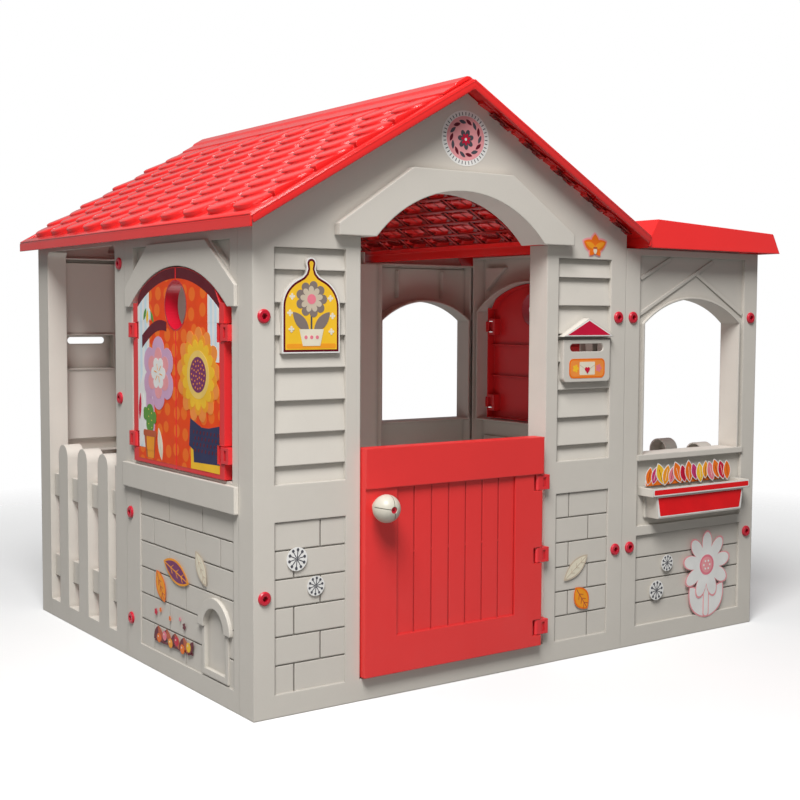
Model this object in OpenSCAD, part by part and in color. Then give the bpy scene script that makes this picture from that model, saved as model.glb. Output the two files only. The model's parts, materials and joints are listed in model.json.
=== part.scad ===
// Child's plastic playhouse: gabled main room, flat-roofed annex, half door, shutters and picket fences.
// +Z up, floor at z = 0, front wall facing -Y, annex on the +X side. All lengths in millimetres.

/* [Overall size] */
// Width of the gabled main room
main_w = 1000; // [960:10:1040]
// Width of the flat-roofed annex
annex_w = 472; // [460:2:500]
// Depth of the house over both gable walls
house_d = 1168; // [1150:2:1200]
// Depth of the front and rear wall trays
gable_t = 60; // [56:1:64]
// Depth of the side wall trays
side_t = 50; // [46:1:54]
// Moulded wall thickness
skin = 4; // [3.5:0.1:4.5]

/* [Roof] */
// Height of the roof rim at the ridge
ridge_z = 1286; // [1270:2:1300]
// Roof pitch in degrees
pitch = 29.8; // [29:0.1:30.5]
// Overhang past the side walls
eave_over = 32; // [28:1:36]
// Overhang past the gable walls
rake_over = 50; // [46:1:56]
// Rows of roof tiles on each slope
tile_rows = 9; // [7:1:9]
// Tiles in a full row
tile_cols = 11; // [9:1:11]
// Height of a tile's lower edge above the slope
tile_rise = 7; // [5:0.5:8]

/* [Doorway and door] */
// Doorway width
door_open_w = 504; // [496:2:510]
// Height of the doorway threshold
threshold_z = 46; // [44:1:48]
// Height of the half door's top edge
door_top_z = 525; // [500:5:540]
// Door thickness
door_t = 36; // [34:1:38]
// Vertical boards in the door
door_boards = 7; // [5:1:8]
// Knob radius
knob_r = 29; // [26:1:30]

/* [Windows and shutters] */
// Sill height of every window
sill_z = 463; // [460:1:466]
// Half width of the shuttered window
shutter_half = 240; // [236:1:242]
// Shutter thickness
shutter_t = 30; // [26:1:32]
// Radius of the round hole where two shutters meet
peep_r = 52; // [46:1:54]
// Half width of the annex window
annex_half = 170; // [160:2:174]

/* [Fence] */
// Width of a picket
picket_w = 62; // [58:1:64]
// Distance between picket centres
picket_pitch = 130; // [128:1:131]
// Height of the picket tops
picket_top_z = 460; // [450:2:470]

/* [Fasteners] */
// Radius of the round screw heads
screw_head_r = 14; // [13:0.5:15]
// Radius of the screw shanks
shank_r = 7.8; // [7.4:0.1:7.9]
// Radius of the hinge pins
pin_r = 4; // [3.8:0.1:4.2]

/* [Hidden] */
$fn = 48;

slope = tan(pitch);
mid_x = main_w / 2;
total_w = main_w + annex_w;
side_len = house_d - 2 * gable_t;
fence_len = 503 + (side_len - 1048) / 2;
window_len = side_len - fence_len;
post_w = 48;
door_half = door_open_w / 2;
door_l = mid_x - door_half;
door_r = mid_x + door_half;
head_z = 955;
arch_half = door_half - 26;
arch_rise = 103;
arch_r = (arch_half * arch_half + arch_rise * arch_rise) / (2 * arch_rise);
arch_cz = head_z + arch_rise - arch_r;
hood_out = 20;
slab = 6;
wall_gap = 1;
slope_len = (mid_x + eave_over) / cos(pitch);
eave_top_z = ridge_z - slope * (mid_x + eave_over);
eave_low_z = eave_top_z - 21;
panel_x = post_w;
panel_w = door_l - 35 - post_w;
siding_z = [sill_z, 927];
brick_z = [threshold_z, 389];
siding_deep = 14;
brick_deep = 8;
board_pitch = 64.1;
upper_screw_z = 793;
lower_screw_z = 242;
screw_in = 24;
head_t = 5;
shank_len = 38;
boss_r = 13;
side_top_z = 982;
annex_top_z = 956;
door_y = -20;
shift_x = -(total_w + 36 - eave_over) / 2;
shift_y = -(house_d + rake_over + door_y + 4 - 2 * knob_r - 2) / 2;
wall_color = [0.78, 0.76, 0.72];
roof_color = [0.86, 0.09, 0.10];
door_color = [0.90, 0.16, 0.15];
screw_color = [0.72, 0.04, 0.10];
knob_color = [0.87, 0.85, 0.78];

// ---------- shared shapes ----------

// outline of an arched opening: straight sides from z0 to zs, then an arc rising by rise
module arch_2d(half, z0, zs, rise) {
  r = (half * half + rise * rise) / (2 * rise);
  translate([-half, z0]) square([2 * half, zs - z0]);
  intersection() {
    translate([0, zs + rise - r]) circle(r = r, $fn = 96);
    translate([-half, zs - 1]) square([2 * half, rise + 2]);
  }
}

// stand a 2D outline (x, z) up as a plate whose outer face is at y0
module upright(y0, t) {
  translate([0, y0 + t, 0]) rotate([90, 0, 0]) linear_extrude(t) children();
}

// open-backed pan that closes a hole in a skin; its front rim is at y = 0
module pan(x0, z0, w, h, deep) {
  difference() {
    translate([x0 - skin, 0, z0 - skin]) cube([w + 2 * skin, deep + skin, h + 2 * skin]);
    translate([x0, -1, z0]) cube([w, deep + 1, h]);
  }
}

// lapped boards between z0 and z1, lying in a pan of siding_deep
module boards(x0, w, z0, z1) {
  for (k = [0 : 7]) {
    zb = max(z1 - 43 - k * board_pitch, z0);
    zt = k == 0 ? z1 : z1 - 43 - (k - 1) * board_pitch;
    yb = 3 + (k == 7 ? 4 : 0);
    if (zt > z0 + 4)
      translate([x0, 0, 0]) rotate([90, 0, 90]) linear_extrude(w)
        polygon([[siding_deep + 1, zb], [yb, zb], [siding_deep - 2, zt - 0.5], [siding_deep + 1, zt - 0.5]]);
  }
}

// courses of blocks raised from a pan of brick_deep
module bricks(x0, w, z0, z1, rows, len, first) {
  rh = (z1 - z0) / rows;
  for (r = [0 : rows - 1]) {
    off = (first + (r % 2) * len / 2) % len;
    for (c = [-1 : ceil(w / len)]) {
      a = max(off + c * len + 1.5, 0);
      b = min(off + (c + 1) * len - 1.5, w);
      if (b - a > 4)
        translate([x0 + a, brick_deep - 5, z0 + r * rh + (r == 0 ? 0 : 1.5)])
          cube([b - a, 6, rh - (r == 0 ? 1.5 : 3)]);
    }
  }
}

// tubular boss that receives a wall screw from the front, from y0 to y1
module boss(y0, y1) {
  translate([0, y0, 0]) rotate([-90, 0, 0]) difference() {
    cylinder(r = boss_r, h = y1 - y0);
    translate([0, 0, -1]) cylinder(r = shank_r + 0.3, h = shank_len + 8);
  }
}

module screw_hole() {
  translate([0, -1, 0]) rotate([-90, 0, 0]) cylinder(r = shank_r + 0.4, h = skin + 2);
}

// round-headed hollow screw with a hexagonal socket; head outside the y = 0 face
module wall_screw() {
  rotate([-90, 0, 0]) difference() {
    union() {
      translate([0, 0, -head_t]) cylinder(r1 = screw_head_r - 2.5, r2 = screw_head_r, h = 2.5);
      translate([0, 0, -head_t + 2.5]) cylinder(r = screw_head_r, h = head_t - 2.5);
      translate([0, 0, -1]) cylinder(r = shank_r, h = shank_len + 1);
      for (k = [0 : 3]) translate([0, 0, 14 + k * 6]) cylinder(r1 = shank_r - 1.2, r2 = shank_r + 0.15, h = 3);
    }
    translate([0, 0, -head_t - 1]) cylinder(r = 6.2, h = 13, $fn = 6);
  }
}

module screws_at(xs) {
  color(screw_color) for (x = xs) for (z = [upper_screw_z, lower_screw_z]) translate([x, 0, z]) wall_screw();
}

module gable_screws() { screws_at([screw_in, main_w - screw_in]); }
module annex_screws() { screws_at([screw_in, annex_w - screw_in]); }

// ---------- gable wall, outer face at y = 0 ----------

function gable_poly(i) = let (a = ridge_z - (slab + wall_gap) / cos(pitch) - i / cos(pitch))
  [[i, i], [main_w - i, i], [main_w - i, a - slope * (mid_x - i)], [mid_x, a], [i, a - slope * (mid_x - i)]];

module doorway_2d(grow) {
  translate([door_l - grow, threshold_z - grow]) square([door_open_w + 2 * grow, head_z - threshold_z + grow]);
  intersection() {
    translate([mid_x, arch_cz]) circle(r = arch_r + grow, $fn = 96);
    translate([mid_x - arch_half - grow, head_z - 1]) square([2 * (arch_half + grow), arch_rise + grow + 2]);
  }
}

function hood_poly(i) = [[mid_x - 315 + i, head_z + i], [mid_x - 315 + i, 978 - i / 2],
  [mid_x - 133 + i / 2, 1100 - i], [mid_x + 133 - i / 2, 1100 - i], [mid_x + 315 - i, 978 - i / 2],
  [mid_x + 315 - i, head_z + i]];

module mailbox_body() {
  translate([797, -8, 645]) difference() {
    cube([146, 30, 97]);
    for (e = [0, 1]) translate([e * 146, -1, 0]) rotate([-90, 0, 0])
      translate([e ? -10 : 0, -10, 0]) difference() {
        translate([e ? 0 : -1, 0, 0]) cube([11, 11, 40]);
        translate([e ? 0 : 10, 0, -1]) cylinder(r = 10, h = 42);
      }
    translate([skin, skin, skin]) cube([146 - 2 * skin, 40, 97 - 2 * skin]);
  }
  upright(-14, 30) polygon([[790, 749], [950, 749], [870, 791]]);
}

module mailbox_slot_2d() {
  translate([825.5, 714.8]) square([87, 18]);
  for (x = [825.5, 912.5]) translate([x, 723.8]) circle(r = 9);
}

// bell outline with a round knob on a short neck
module plaque_2d(i) {
  offset(delta = -i) offset(r = -8) offset(r = 8) {
    translate([63, 720]) square([134, 92]);
    intersection() {
      translate([130, 811]) scale([1, 0.93]) circle(r = 67);
      translate([0, 810]) square([260, 100]);
    }
    translate([119.5, 860]) square([21, 36]);
    translate([130, 897]) circle(r = 12.5);
  }
}

module gable_wall() {
  lx = panel_x;
  rx = main_w - panel_x - panel_w;
  color(wall_color) difference() {
    union() {
      difference() {
        upright(0, gable_t) polygon(gable_poly(0));
        upright(skin, gable_t) polygon(gable_poly(skin + 1));
        for (x = [lx, rx]) {
          translate([x, -1, siding_z[0]]) cube([panel_w, 10, siding_z[1] - siding_z[0]]);
          translate([x, -1, brick_z[0]]) cube([panel_w, 10, brick_z[1] - brick_z[0]]);
        }
      }
      for (x = [lx, rx]) {
        pan(x, siding_z[0], panel_w, siding_z[1] - siding_z[0], siding_deep);
        pan(x, brick_z[0], panel_w, brick_z[1] - brick_z[0], brick_deep);
        boards(x, panel_w, siding_z[0], siding_z[1]);
        bricks(x, panel_w, brick_z[0], brick_z[1], 6, 123, x == lx ? 45 : 104);
      }
      upright(0, gable_t) doorway_2d(skin + 1);
      difference() {
        upright(-hood_out, hood_out + 1) polygon(hood_poly(0));
        upright(-hood_out + skin, hood_out + 20) polygon(hood_poly(skin));
      }
      intersection() {
        upright(-hood_out, hood_out + 1) doorway_2d(skin + 1);
        translate([0, -hood_out - 1, head_z]) cube([main_w, hood_out + 3, 200]);
      }
      upright(-2, siding_deep + 4) plaque_2d(0);
      mailbox_body();
      for (x = [lx - skin - 1, lx + panel_w + 1, rx - skin - 1, rx + panel_w + 1])
        translate([x, 1, 2]) cube([skin, gable_t - 16, head_z + 10]);
      for (z = [425, 940]) for (x = [4, rx - 2]) translate([x, 1, z]) cube([panel_w + 40, gable_t - 30, skin]);
    }
    upright(-hood_out - 1, gable_t + hood_out + 2) doorway_2d(0);
    upright(-hood_out + skin, hood_out + 1) polygon([[mid_x - 305, 962], [mid_x - 305, 974], [mid_x - 130, 1092],
      [mid_x + 130, 1092], [mid_x + 305, 974], [mid_x + 305, 962], [mid_x + 262, 962],
      [mid_x + 225, 1000], [mid_x + 120, 1070], [mid_x, 1084], [mid_x - 120, 1070], [mid_x - 225, 1000],
      [mid_x - 262, 962]]);
    upright(2, siding_deep + 8) plaque_2d(skin);
    upright(-20, 60) mailbox_slot_2d();
    translate([797 + skin, -8 + skin, 645 + skin]) cube([146 - 2 * skin, 40, 97 - 2 * skin]);
    for (x = [screw_in, main_w - screw_in]) for (z = [upper_screw_z, lower_screw_z]) translate([x, 0, z]) screw_hole();
    for (z = door_hinge_z) translate([door_r - 1, door_clip_y - 8.3, z - 7.2]) cube([skin + 3, 8.6, 14.4]);
  }
}

// the same wall with its doorway closed by a planked panel, for the rear
module closed_gable_wall() {
  plank_w = (door_open_w - 24) / 5;
  gable_wall();
  color(wall_color) {
    upright(26, skin) doorway_2d(skin / 2);
    intersection() {
      for (k = [0 : 4]) translate([door_l + 14 + k * plank_w, 23, threshold_z + 14]) cube([plank_w - 4, 4, 1000]);
      upright(20, 12) doorway_2d(-14);
    }
  }
}

// ---------- annex wall, outer face at y = 0, local x from 0 to annex_w ----------

module annex_window_2d(grow) {
  translate([annex_w / 2, 0]) arch_2d(annex_half + grow, sill_z - grow, 779, 60 + grow);
}

module brace(x0, z0, x1, z1, t) {
  a = atan2(z1 - z0, x1 - x0);
  translate([x0, 5, z0]) rotate([0, -a, 0]) cube([norm([x1 - x0, z1 - z0]), 6, t]);
}

module annex_wall() {
  rec_w = annex_w - 2 * post_w;
  deep = 8;
  color(wall_color) difference() {
    union() {
      difference() {
        cube([annex_w, gable_t, annex_top_z]);
        translate([skin + 1, skin, skin + 1]) cube([annex_w - 2 * skin - 2, gable_t, annex_top_z - 2 * skin - 2]);
        translate([post_w, -1, threshold_z]) cube([rec_w, 10, 221]);
        translate([post_w, -1, 290]) cube([rec_w, 10, 650]);
      }
      pan(post_w, threshold_z, rec_w, 221, 12);
      for (k = [0 : 3]) translate([post_w, 6, threshold_z + k * 55.25 + (k == 0 ? 0 : 1.5)])
        cube([rec_w, 7, 55.25 - (k == 0 ? 1.5 : 3)]);
      pan(post_w, 290, rec_w, 650, deep);
      brace(post_w + 2, 794, post_w + 262, 929, 9);
      brace(post_w + 200, 896, post_w + 372, 797, 9);
      brace(post_w + 9, 882, post_w + 112, 932, 9);
      upright(0, gable_t) annex_window_2d(skin + 1);
      translate([post_w - 1, -4, sill_z - 14]) cube([rec_w + 2, 16, 14]);
      planter_box();
      for (x = [post_w - skin - 1, annex_w - post_w + 1]) translate([x, 1, 2]) cube([skin, gable_t - 16, annex_top_z - 6]);
      for (x = [annex_w / 2 - 90, annex_w / 2 + 86]) translate([x, 9, 850]) cube([skin, 22, 86]);
      upright(10, skin) polygon([[54, annex_top_z - 10], [88, 1001], [annex_w - 88, 1001], [annex_w - 54, annex_top_z - 10]]);
    }
    upright(-10, gable_t + 20) annex_window_2d(0);
    translate([annex_w / 2 - 144, -30, 316]) cube([288, 100, 54]);
    translate([annex_w / 2 - 168, -35, 368.5]) cube([336, 38, 30]);
    for (x = [screw_in, annex_w - screw_in]) for (z = [upper_screw_z, lower_screw_z]) translate([x, 0, z]) screw_hole();
  }
}

// window box moulded in one with the annex wall
module planter_box() {
  translate([annex_w / 2, 0, 0]) {
    translate([-175, -40, 364]) cube([350, 52, 20]);
    difference() {
      translate([-158, -34, 309]) cube([316, 46, 58]);
      for (s = [-1, 1]) translate([s * 158, -35, 364]) rotate([0, s * 8, 0])
        translate([s > 0 ? 0 : -40, 0, -100]) cube([40, 36, 110]);
    }
  }
}

// ---------- side walls, outer face at y = 0, local x from 0 ----------

// tubes on a wall's end plate at x0 that reach into the gable wall tray, towards dir * x
module end_bosses(x0, dir) {
  len = gable_t - skin - 0.4;
  for (z = [upper_screw_z, lower_screw_z]) translate([x0, screw_in, z]) rotate([0, dir * 90, 0])
    translate([0, 0, -1]) difference() {
      cylinder(r = boss_r, h = len + 1);
      translate([0, 0, len - shank_len - 6]) cylinder(r = shank_r + 0.3, h = shank_len + 20);
    }
}

shutter_arch_z = 808;
shutter_rise = 90;
win_x = window_len - (shutter_half + 25);

module shutter_opening_2d(grow) {
  translate([win_x, 0]) arch_2d(shutter_half + grow, sill_z - grow, shutter_arch_z, shutter_rise + grow);
}

module window_wall() {
  brick_x = 74;
  brick_w = window_len - brick_x - 22;
  color(wall_color) difference() {
    union() {
      difference() {
        cube([window_len, side_t, side_top_z]);
        translate([skin + 1, skin, skin + 1]) cube([window_len - 2 * skin - 2, side_t, side_top_z - 2 * skin - 2]);
        translate([brick_x, -1, 44]) cube([brick_w, 10, 358]);
      }
      pan(brick_x, 44, brick_w, 358, brick_deep);
      bricks(brick_x, brick_w, 44, 402, 6, 160, 68);
      upright(0, side_t) shutter_opening_2d(skin + 1);
      upright(-8, 12) window_hood_2d();
      translate([0.5, -10, 402]) cube([window_len - 1, 16, 55]);
      for (s = [-1, 1]) upright(skin - 0.5, 14) corner_pocket_2d(s, 4);
      pet_door();
      translate([brick_x - skin - 1, 1, 2]) cube([skin, side_t - 14, 398]);
      seam_tongue(0, 1);
      end_bosses(window_len, 1);
    }
    upright(-12, side_t + 24) shutter_opening_2d(0);
    for (s = [-1, 1]) upright(-9, 21) corner_pocket_2d(s, 0);
    translate([pet_x, -7, 0]) upright(0, brick_deep + 7) arch_2d(46, 62, 150, 44);
    for (z = [341, 94]) translate([25, 0, z]) screw_hole();
    for (s = [-1, 1]) for (z = shutter_hinge_z)
      translate([win_x + s * shutter_half - (s > 0 ? 1 : skin + 2), shutter_clip_y - 8.3, z - 7.2]) cube([skin + 3, 8.6, 14.4]);
    for (z = [341, 94]) translate([-1, skin + 0.2, z - 62]) cube([skin + 3, 10, 124]);
  }
}

// triangular pocket beside the window hood
module corner_pocket_2d(s, g) {
  translate([win_x, 0]) scale([s, 1])
    polygon([[152 - 2 * g, 945 + g], [232 + g, 945 + g], [232 + g, 884 - 2 * g]]);
}

module window_hood_2d() {
  difference() {
    translate([win_x, 0]) polygon([[-shutter_half - 24, 812], [-shutter_half - 24, 854], [-138, 948], [138, 948],
      [shutter_half + 24, 854], [shutter_half + 24, 812]]);
    shutter_opening_2d(0);
  }
}

// small raised arch over a blind panel
pet_x = window_len - 103;
module pet_door() {
  translate([pet_x, 0, 0]) {
    upright(-5, brick_deep + 6) arch_2d(72, 150, 156, 60);
    upright(-1, brick_deep + 2) arch_2d(58, 48, 152, 40);
  }
}

// tongue behind the neighbour's edge, with a hole for the seam screws
module seam_tongue(x, side) {
  zs = side > 0 ? [601, 912] : [94, 341];
  for (z = zs) difference() {
    translate([x - (side > 0 ? 48 : 6), skin + 0.4, z - 60]) cube([54, 8, 120]);
    translate([x + (side > 0 ? -29 : 25), 0, z]) rotate([-90, 0, 0]) cylinder(r = shank_r + 0.3, h = 30);
  }
}

module picket_2d(g) {
  r = picket_w / 2 - g;
  translate([-r, 20]) square([2 * r, picket_top_z - picket_w / 2 - 20]);
  translate([0, picket_top_z - picket_w / 2]) circle(r = r);
}

picket_x = [for (k = [0 : 2]) 102 + k * picket_pitch];

module fence_wall() {
  open_x0 = 8;
  open_x1 = fence_len - 56;
  color(wall_color) difference() {
    union() {
      difference() {
        cube([fence_len, side_t, side_top_z]);
        translate([skin + 1, skin, skin + 1]) cube([fence_len - 2 * skin - 2, side_t, side_top_z - 2 * skin - 2]);
        upright(-1, side_t + 2) fence_opening_2d(open_x0, open_x1, 44);
      }
      difference() {
        upright(0, side_t) fence_opening_2d(open_x0 - skin, open_x1 + skin, 44 - skin);
        upright(-1, side_t + 2) fence_opening_2d(open_x0, open_x1, 44);
      }
      for (z = [[106, 162], [318, 376]]) difference() {
        translate([open_x0 - 2, 12, z[0]]) cube([open_x1 - open_x0 + 4, 24, z[1] - z[0]]);
        translate([open_x0 + 2, 12 + skin, z[0] + skin]) cube([open_x1 - open_x0 - 4, 24, z[1] - z[0] - 2 * skin]);
      }
      for (x = picket_x) translate([x, 0, 0]) difference() {
        upright(0, 44) picket_2d(0);
        translate([0, skin, 0]) upright(0, 44) picket_2d(skin);
      }
      translate([open_x1 - 8, 0, 20]) cube([10, 40, picket_top_z - 40]);
      seam_tongue(fence_len, -1);
      end_bosses(0, -1);
    }
    for (z = [601, 912]) translate([fence_len - 29, 0, z]) screw_hole();
    for (z = [601, 912]) translate([fence_len - skin - 2, skin + 0.2, z - 61]) cube([skin + 3, 8.6, 122]);
  }
}

module fence_opening_2d(x0, x1, z0) {
  r = 16;
  translate([x0, z0]) square([x1 - x0, 955 - r - z0]);
  translate([x0 + r, z0]) square([x1 - x0 - 2 * r, 955 - z0]);
  for (x = [x0 + r, x1 - r]) translate([x, 955 - r]) circle(r = r);
}

// ---------- placing side modules ----------

module left_side() { translate([0, house_d - gable_t, 0]) rotate([0, 0, -90]) children(); }
module right_side() { translate([total_w, gable_t, 0]) rotate([0, 0, 90]) children(); }
module rear_main() { translate([main_w, house_d, 0]) rotate([0, 0, 180]) children(); }
module front_annex() { translate([main_w, 0, 0]) children(); }
module rear_annex() { translate([total_w, house_d, 0]) rotate([0, 0, 180]) children(); }
module place() { translate([shift_x, shift_y, 0]) children(); }

module splice_post() {
  color(wall_color) {
    difference() {
      translate([main_w - 48, gable_t + 0.2, 4]) cube([96, 24, annex_top_z - 8]);
      translate([main_w - 44, gable_t + 0.2 + skin, 0]) cube([88, 30, annex_top_z + 20]);
    }
    for (s = [-1, 1]) for (z = [upper_screw_z, lower_screw_z])
      translate([main_w + s * screw_in, 0, z]) boss(skin + 0.3, gable_t + 2);
  }
}

// ---------- roof ----------

module on_slope() { translate([mid_x, 0, ridge_z]) rotate([0, -pitch, 0]) children(); }

module tile() {
  len = 98;
  w = (house_d + 2 * rake_over - 60) / tile_cols - 7;
  r = 32;
  tilt = atan(tile_rise / len);
  rotate([0, tilt, 0]) linear_extrude(tile_rise) {
    translate([r, -w / 2]) square([len - r, w]);
    translate([0, -w / 2 + r]) square([len, w - 2 * r]);
    for (s = [-1, 1]) translate([r, s * (w / 2 - r)]) circle(r = r);
  }
}

module tiles() {
  lo = -slope_len + 34;
  hi = -96;
  y0 = -rake_over + 30;
  run = house_d + 2 * rake_over - 60;
  cw = run / tile_cols;
  rp = (hi - lo) / tile_rows;
  intersection() {
    union() for (r = [0 : tile_rows - 1]) for (c = [0 : tile_cols - (r % 2 == 0 ? 1 : 0)])
      translate([lo + r * rp - 8, y0 + (c + (r % 2 == 0 ? 0.5 : 0)) * cw, 0]) tile();
    translate([lo - 10, y0, -slab + 1]) cube([hi - lo + 16, run, 50]);
  }
}

module roof_half() {
  y0 = -rake_over;
  len = house_d + 2 * rake_over;
  difference() {
    union() {
      on_slope() translate([-slope_len, y0, -slab]) cube([slope_len + 20, len, slab]);
      for (y = [y0, y0 + len - 5]) on_slope() translate([-slope_len, y, -17]) cube([slope_len + 20, 5, 17]);
      translate([-eave_over, y0, eave_low_z]) cube([5, len, eave_top_z - eave_low_z - 0.3]);
      on_slope() tiles();
      on_slope() translate([-78, y0 + 22, -1]) cube([60, len - 44, 4]);
      for (y = [-33, house_d + 3]) on_slope() translate([-322, y, -34]) cube([46, 30, 34]);
    }
    translate([mid_x - 0.3, y0 - 10, ridge_z - 200]) cube([200, len + 20, 400]);
    translate([-eave_over - 40, y0 - 10, eave_low_z - 60]) cube([40, len + 20, 200]);
  }
}

module roof_left() { color(roof_color) roof_half(); }
module roof_right() { color(roof_color) translate([main_w, house_d, 0]) rotate([0, 0, 180]) roof_half(); }

// folded cap over the ridge joint, with a raised bead
module ridge_cap() {
  y0 = -rake_over + 22.5;
  len = house_d + 2 * rake_over - 45;
  up = 3.2;
  a = ridge_z + up / cos(pitch);
  t = 5;
  color(roof_color) translate([0, y0 + len, 0]) rotate([90, 0, 0]) linear_extrude(len)
      polygon([[mid_x - 66, a - 66 * slope], [mid_x, a], [mid_x + 66, a - 66 * slope],
        [mid_x + 66, a + t - 66 * slope], [mid_x + 36, a + t - 36 * slope], [mid_x + 30, a + t + 4 - 30 * slope],
        [mid_x + 4, a + t + 2], [mid_x - 4, a + t + 2], [mid_x - 30, a + t + 4 - 30 * slope],
        [mid_x - 36, a + t - 36 * slope], [mid_x - 66, a + t - 66 * slope]]);
}

module annex_roof() {
  x0 = main_w + eave_over + 1;
  x1 = total_w + 36;
  y0 = -40;
  len = house_d + 80;
  z0 = 957;
  t = 5;
  color(roof_color) difference() {
    annex_shell(x0, x1, y0, len, z0, 0);
    annex_shell(x0, x1, y0, len, z0 - 1, t);
  }
}

module annex_shell(x0, x1, y0, len, z0, i) {
  difference() {
    translate([0, y0 + len - i, 0]) rotate([90, 0, 0]) linear_extrude(len - 2 * i)
      polygon([[x0 + i, z0], [x0 + i, 968 - i], [x0 + 46 + i * 0.6, 1026 - i], [x1 - 16 - i, 1007 - i],
        [x1 - 13 - i, 1004 - i], [x1 - i, z0]]);
    translate([x0 - 20, y0 + i, z0]) rotate([-12, 0, 0]) translate([0, -60, -20]) cube([x1 - x0 + 40, 60, 140]);
    translate([x0 - 20, y0 + len - i, z0]) rotate([12, 0, 0]) translate([0, 0, -20]) cube([x1 - x0 + 40, 60, 140]);
  }
}

// ---------- hinges ----------

door_hinge_z = [422, 257, 92];
shutter_hinge_z = [760, 515];
hinge_in = 30;      // pin axis to the jamb
door_pin_y = -8;
shutter_pin_y = -1;
notch = 17;

door_clip_y = 12;
shutter_clip_y = 13;

// snap-in clip on a jamb at local x = 0, gripping a pin at x = -hinge_in; its arm ends at y = yb
module hinge_clip(y, yb) {
  h = 33;
  difference() {
    union() {
      translate([-hinge_in, y, -h / 2]) cylinder(r = 8, h = h);
      translate([-hinge_in, y - 8, -h / 2]) cube([hinge_in - 8, 16, h]);
      translate([-14, y - 8, -h / 2]) cube([13.8, yb - y + 8, h]);
      translate([-4, yb - 8, -6.8]) cube([14, 8, 13.6]);
    }
    translate([-hinge_in, y, -h]) cylinder(r = pin_r + 0.08, h = 2 * h);
    translate([-hinge_in - 12, y - 2.6, -h]) cube([9, 5.2, 2 * h]);
    translate([-hinge_in + 11, y - 9, -h / 2 + 6]) cube([9, 4, h - 12]);
  }
}

// panel edge cut for one clip, leaving the pin
module hinge_notch(y, z) {
  translate([-hinge_in - 16, y - 40, z - notch - 1]) cube([60, 80, 2 * notch + 2]);
}

module hinge_pin(y, z) {
  translate([-hinge_in, y, z - notch - 4]) cylinder(r = pin_r, h = 2 * notch + 8);
}

module door_hinge(k) { color(screw_color) translate([door_r, 0, door_hinge_z[k]]) hinge_clip(door_pin_y, door_clip_y); }

// ---------- half door ----------

module door() {
  x0 = door_l + 2.5;
  x1 = door_r - 21;
  z0 = threshold_z + 4;
  rx0 = x0 + 80;
  rx1 = x1 - 80;
  rail_z = 442;
  bw = (rx1 - rx0) / door_boards;
  color(door_color) difference() {
    union() {
      difference() {
        translate([x0, door_y + 4, z0]) cube([x1 - x0, door_t - 4, door_top_z - z0]);
        translate([x0 + skin, door_y + 5 + skin, z0 + skin]) cube([x1 - x0 - 2 * skin, door_t, door_top_z - z0 - 2 * skin]);
        translate([rx0, door_y, 130]) cube([rx1 - rx0, 20, rail_z - 130 + 10]);
      }
      translate([x0, door_y, rail_z]) cube([x1 - x0, 6, door_top_z - rail_z]);
      translate([rx0 - skin, door_y + 11, 130 - skin]) cube([rx1 - rx0 + 2 * skin, skin + 1, rail_z - 130 + 14]);
      for (s = [rx0 - skin, rx1]) translate([s, door_y + 4, 130 - skin]) cube([skin, 12, rail_z - 126]);
      translate([rx0 - skin, door_y + 4, 126]) cube([rx1 - rx0 + 2 * skin, 12, skin]);
      for (k = [0 : door_boards - 1]) translate([rx0 + k * bw + 1.5, door_y + 8, 130]) cube([bw - 3, 4, rail_z - 130 + 4]);
      for (z = door_hinge_z) translate([x1 - 36, door_y + 4, z - notch - 9]) cube([36, door_t - 4, 2 * notch + 18]);
      translate([x0 + 31, door_y + 4, knob_z]) rotate([-90, 0, 0]) cylinder(r = 20, h = door_t - 4);
      for (x = [x0 + 160, x1 - 160]) translate([x, door_y + 8.5, z0 + 2]) cube([skin, door_t - 12, door_top_z - z0 - 4]);
      for (z = [300, 440]) translate([x0 + 2, door_y + 8.5, z]) cube([x1 - x0 - 4, door_t - 12, skin]);
    }
    for (z = door_hinge_z) translate([door_r, 0, 0]) hinge_notch(door_pin_y, z);
    translate([x0 + 31, -60, knob_z]) rotate([-90, 0, 0]) cylinder(r = 6, h = 120);
  }
  color(door_color) for (z = door_hinge_z) translate([door_r, 0, 0]) hinge_pin(door_pin_y, z);
}

knob_z = 404;
knob_x = door_l + 2.5 + 31;

// ball knob in three lobes, its neck against the door at y = 0, ball towards -y
module knob() {
  rotate([90, 0, 0]) difference() {
    union() {
      translate([0, 0, knob_r + 2]) sphere(r = knob_r);
      cylinder(r = 15, h = 12);
    }
    translate([0, 0, -1]) cylinder(r = 4.2, h = 2 * knob_r + 20);
    translate([0, 0, 2 * knob_r - 6]) cylinder(r = 7.2, h = 20);
    translate([0, 0, -20]) cylinder(r = 40, h = 20);
    difference() {
      for (a = [80, 170, 290]) rotate([0, 0, a]) translate([0, -0.8, knob_r]) cube([60, 1.6, 60]);
      translate([0, 0, knob_r + 2]) sphere(r = knob_r - 2);
    }
  }
}

module knob_outer() { color(knob_color) translate([knob_x, door_y + 4, knob_z]) knob(); }
module knob_inner() { color(knob_color) translate([knob_x, door_y + door_t, knob_z]) rotate([0, 0, 180]) knob(); }
module knob_screw() {
  y0 = door_y + 4 - 2 * knob_r + 6;
  y1 = door_y + door_t + 2 * knob_r - 6;
  color(screw_color) translate([knob_x, 0, knob_z]) rotate([-90, 0, 0]) {
    translate([0, 0, y0 - 5]) difference() { cylinder(r = 6.9, h = 5); translate([0, 0, -1]) cylinder(r = 3, h = 4, $fn = 6); }
    translate([0, 0, y0 - 0.5]) cylinder(r = 4, h = y1 - y0 + 1);
    translate([0, 0, y1]) cylinder(r = 6.9, h = 5);
  }
}

// ---------- shutters ----------

shutter_y = -6;
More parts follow.
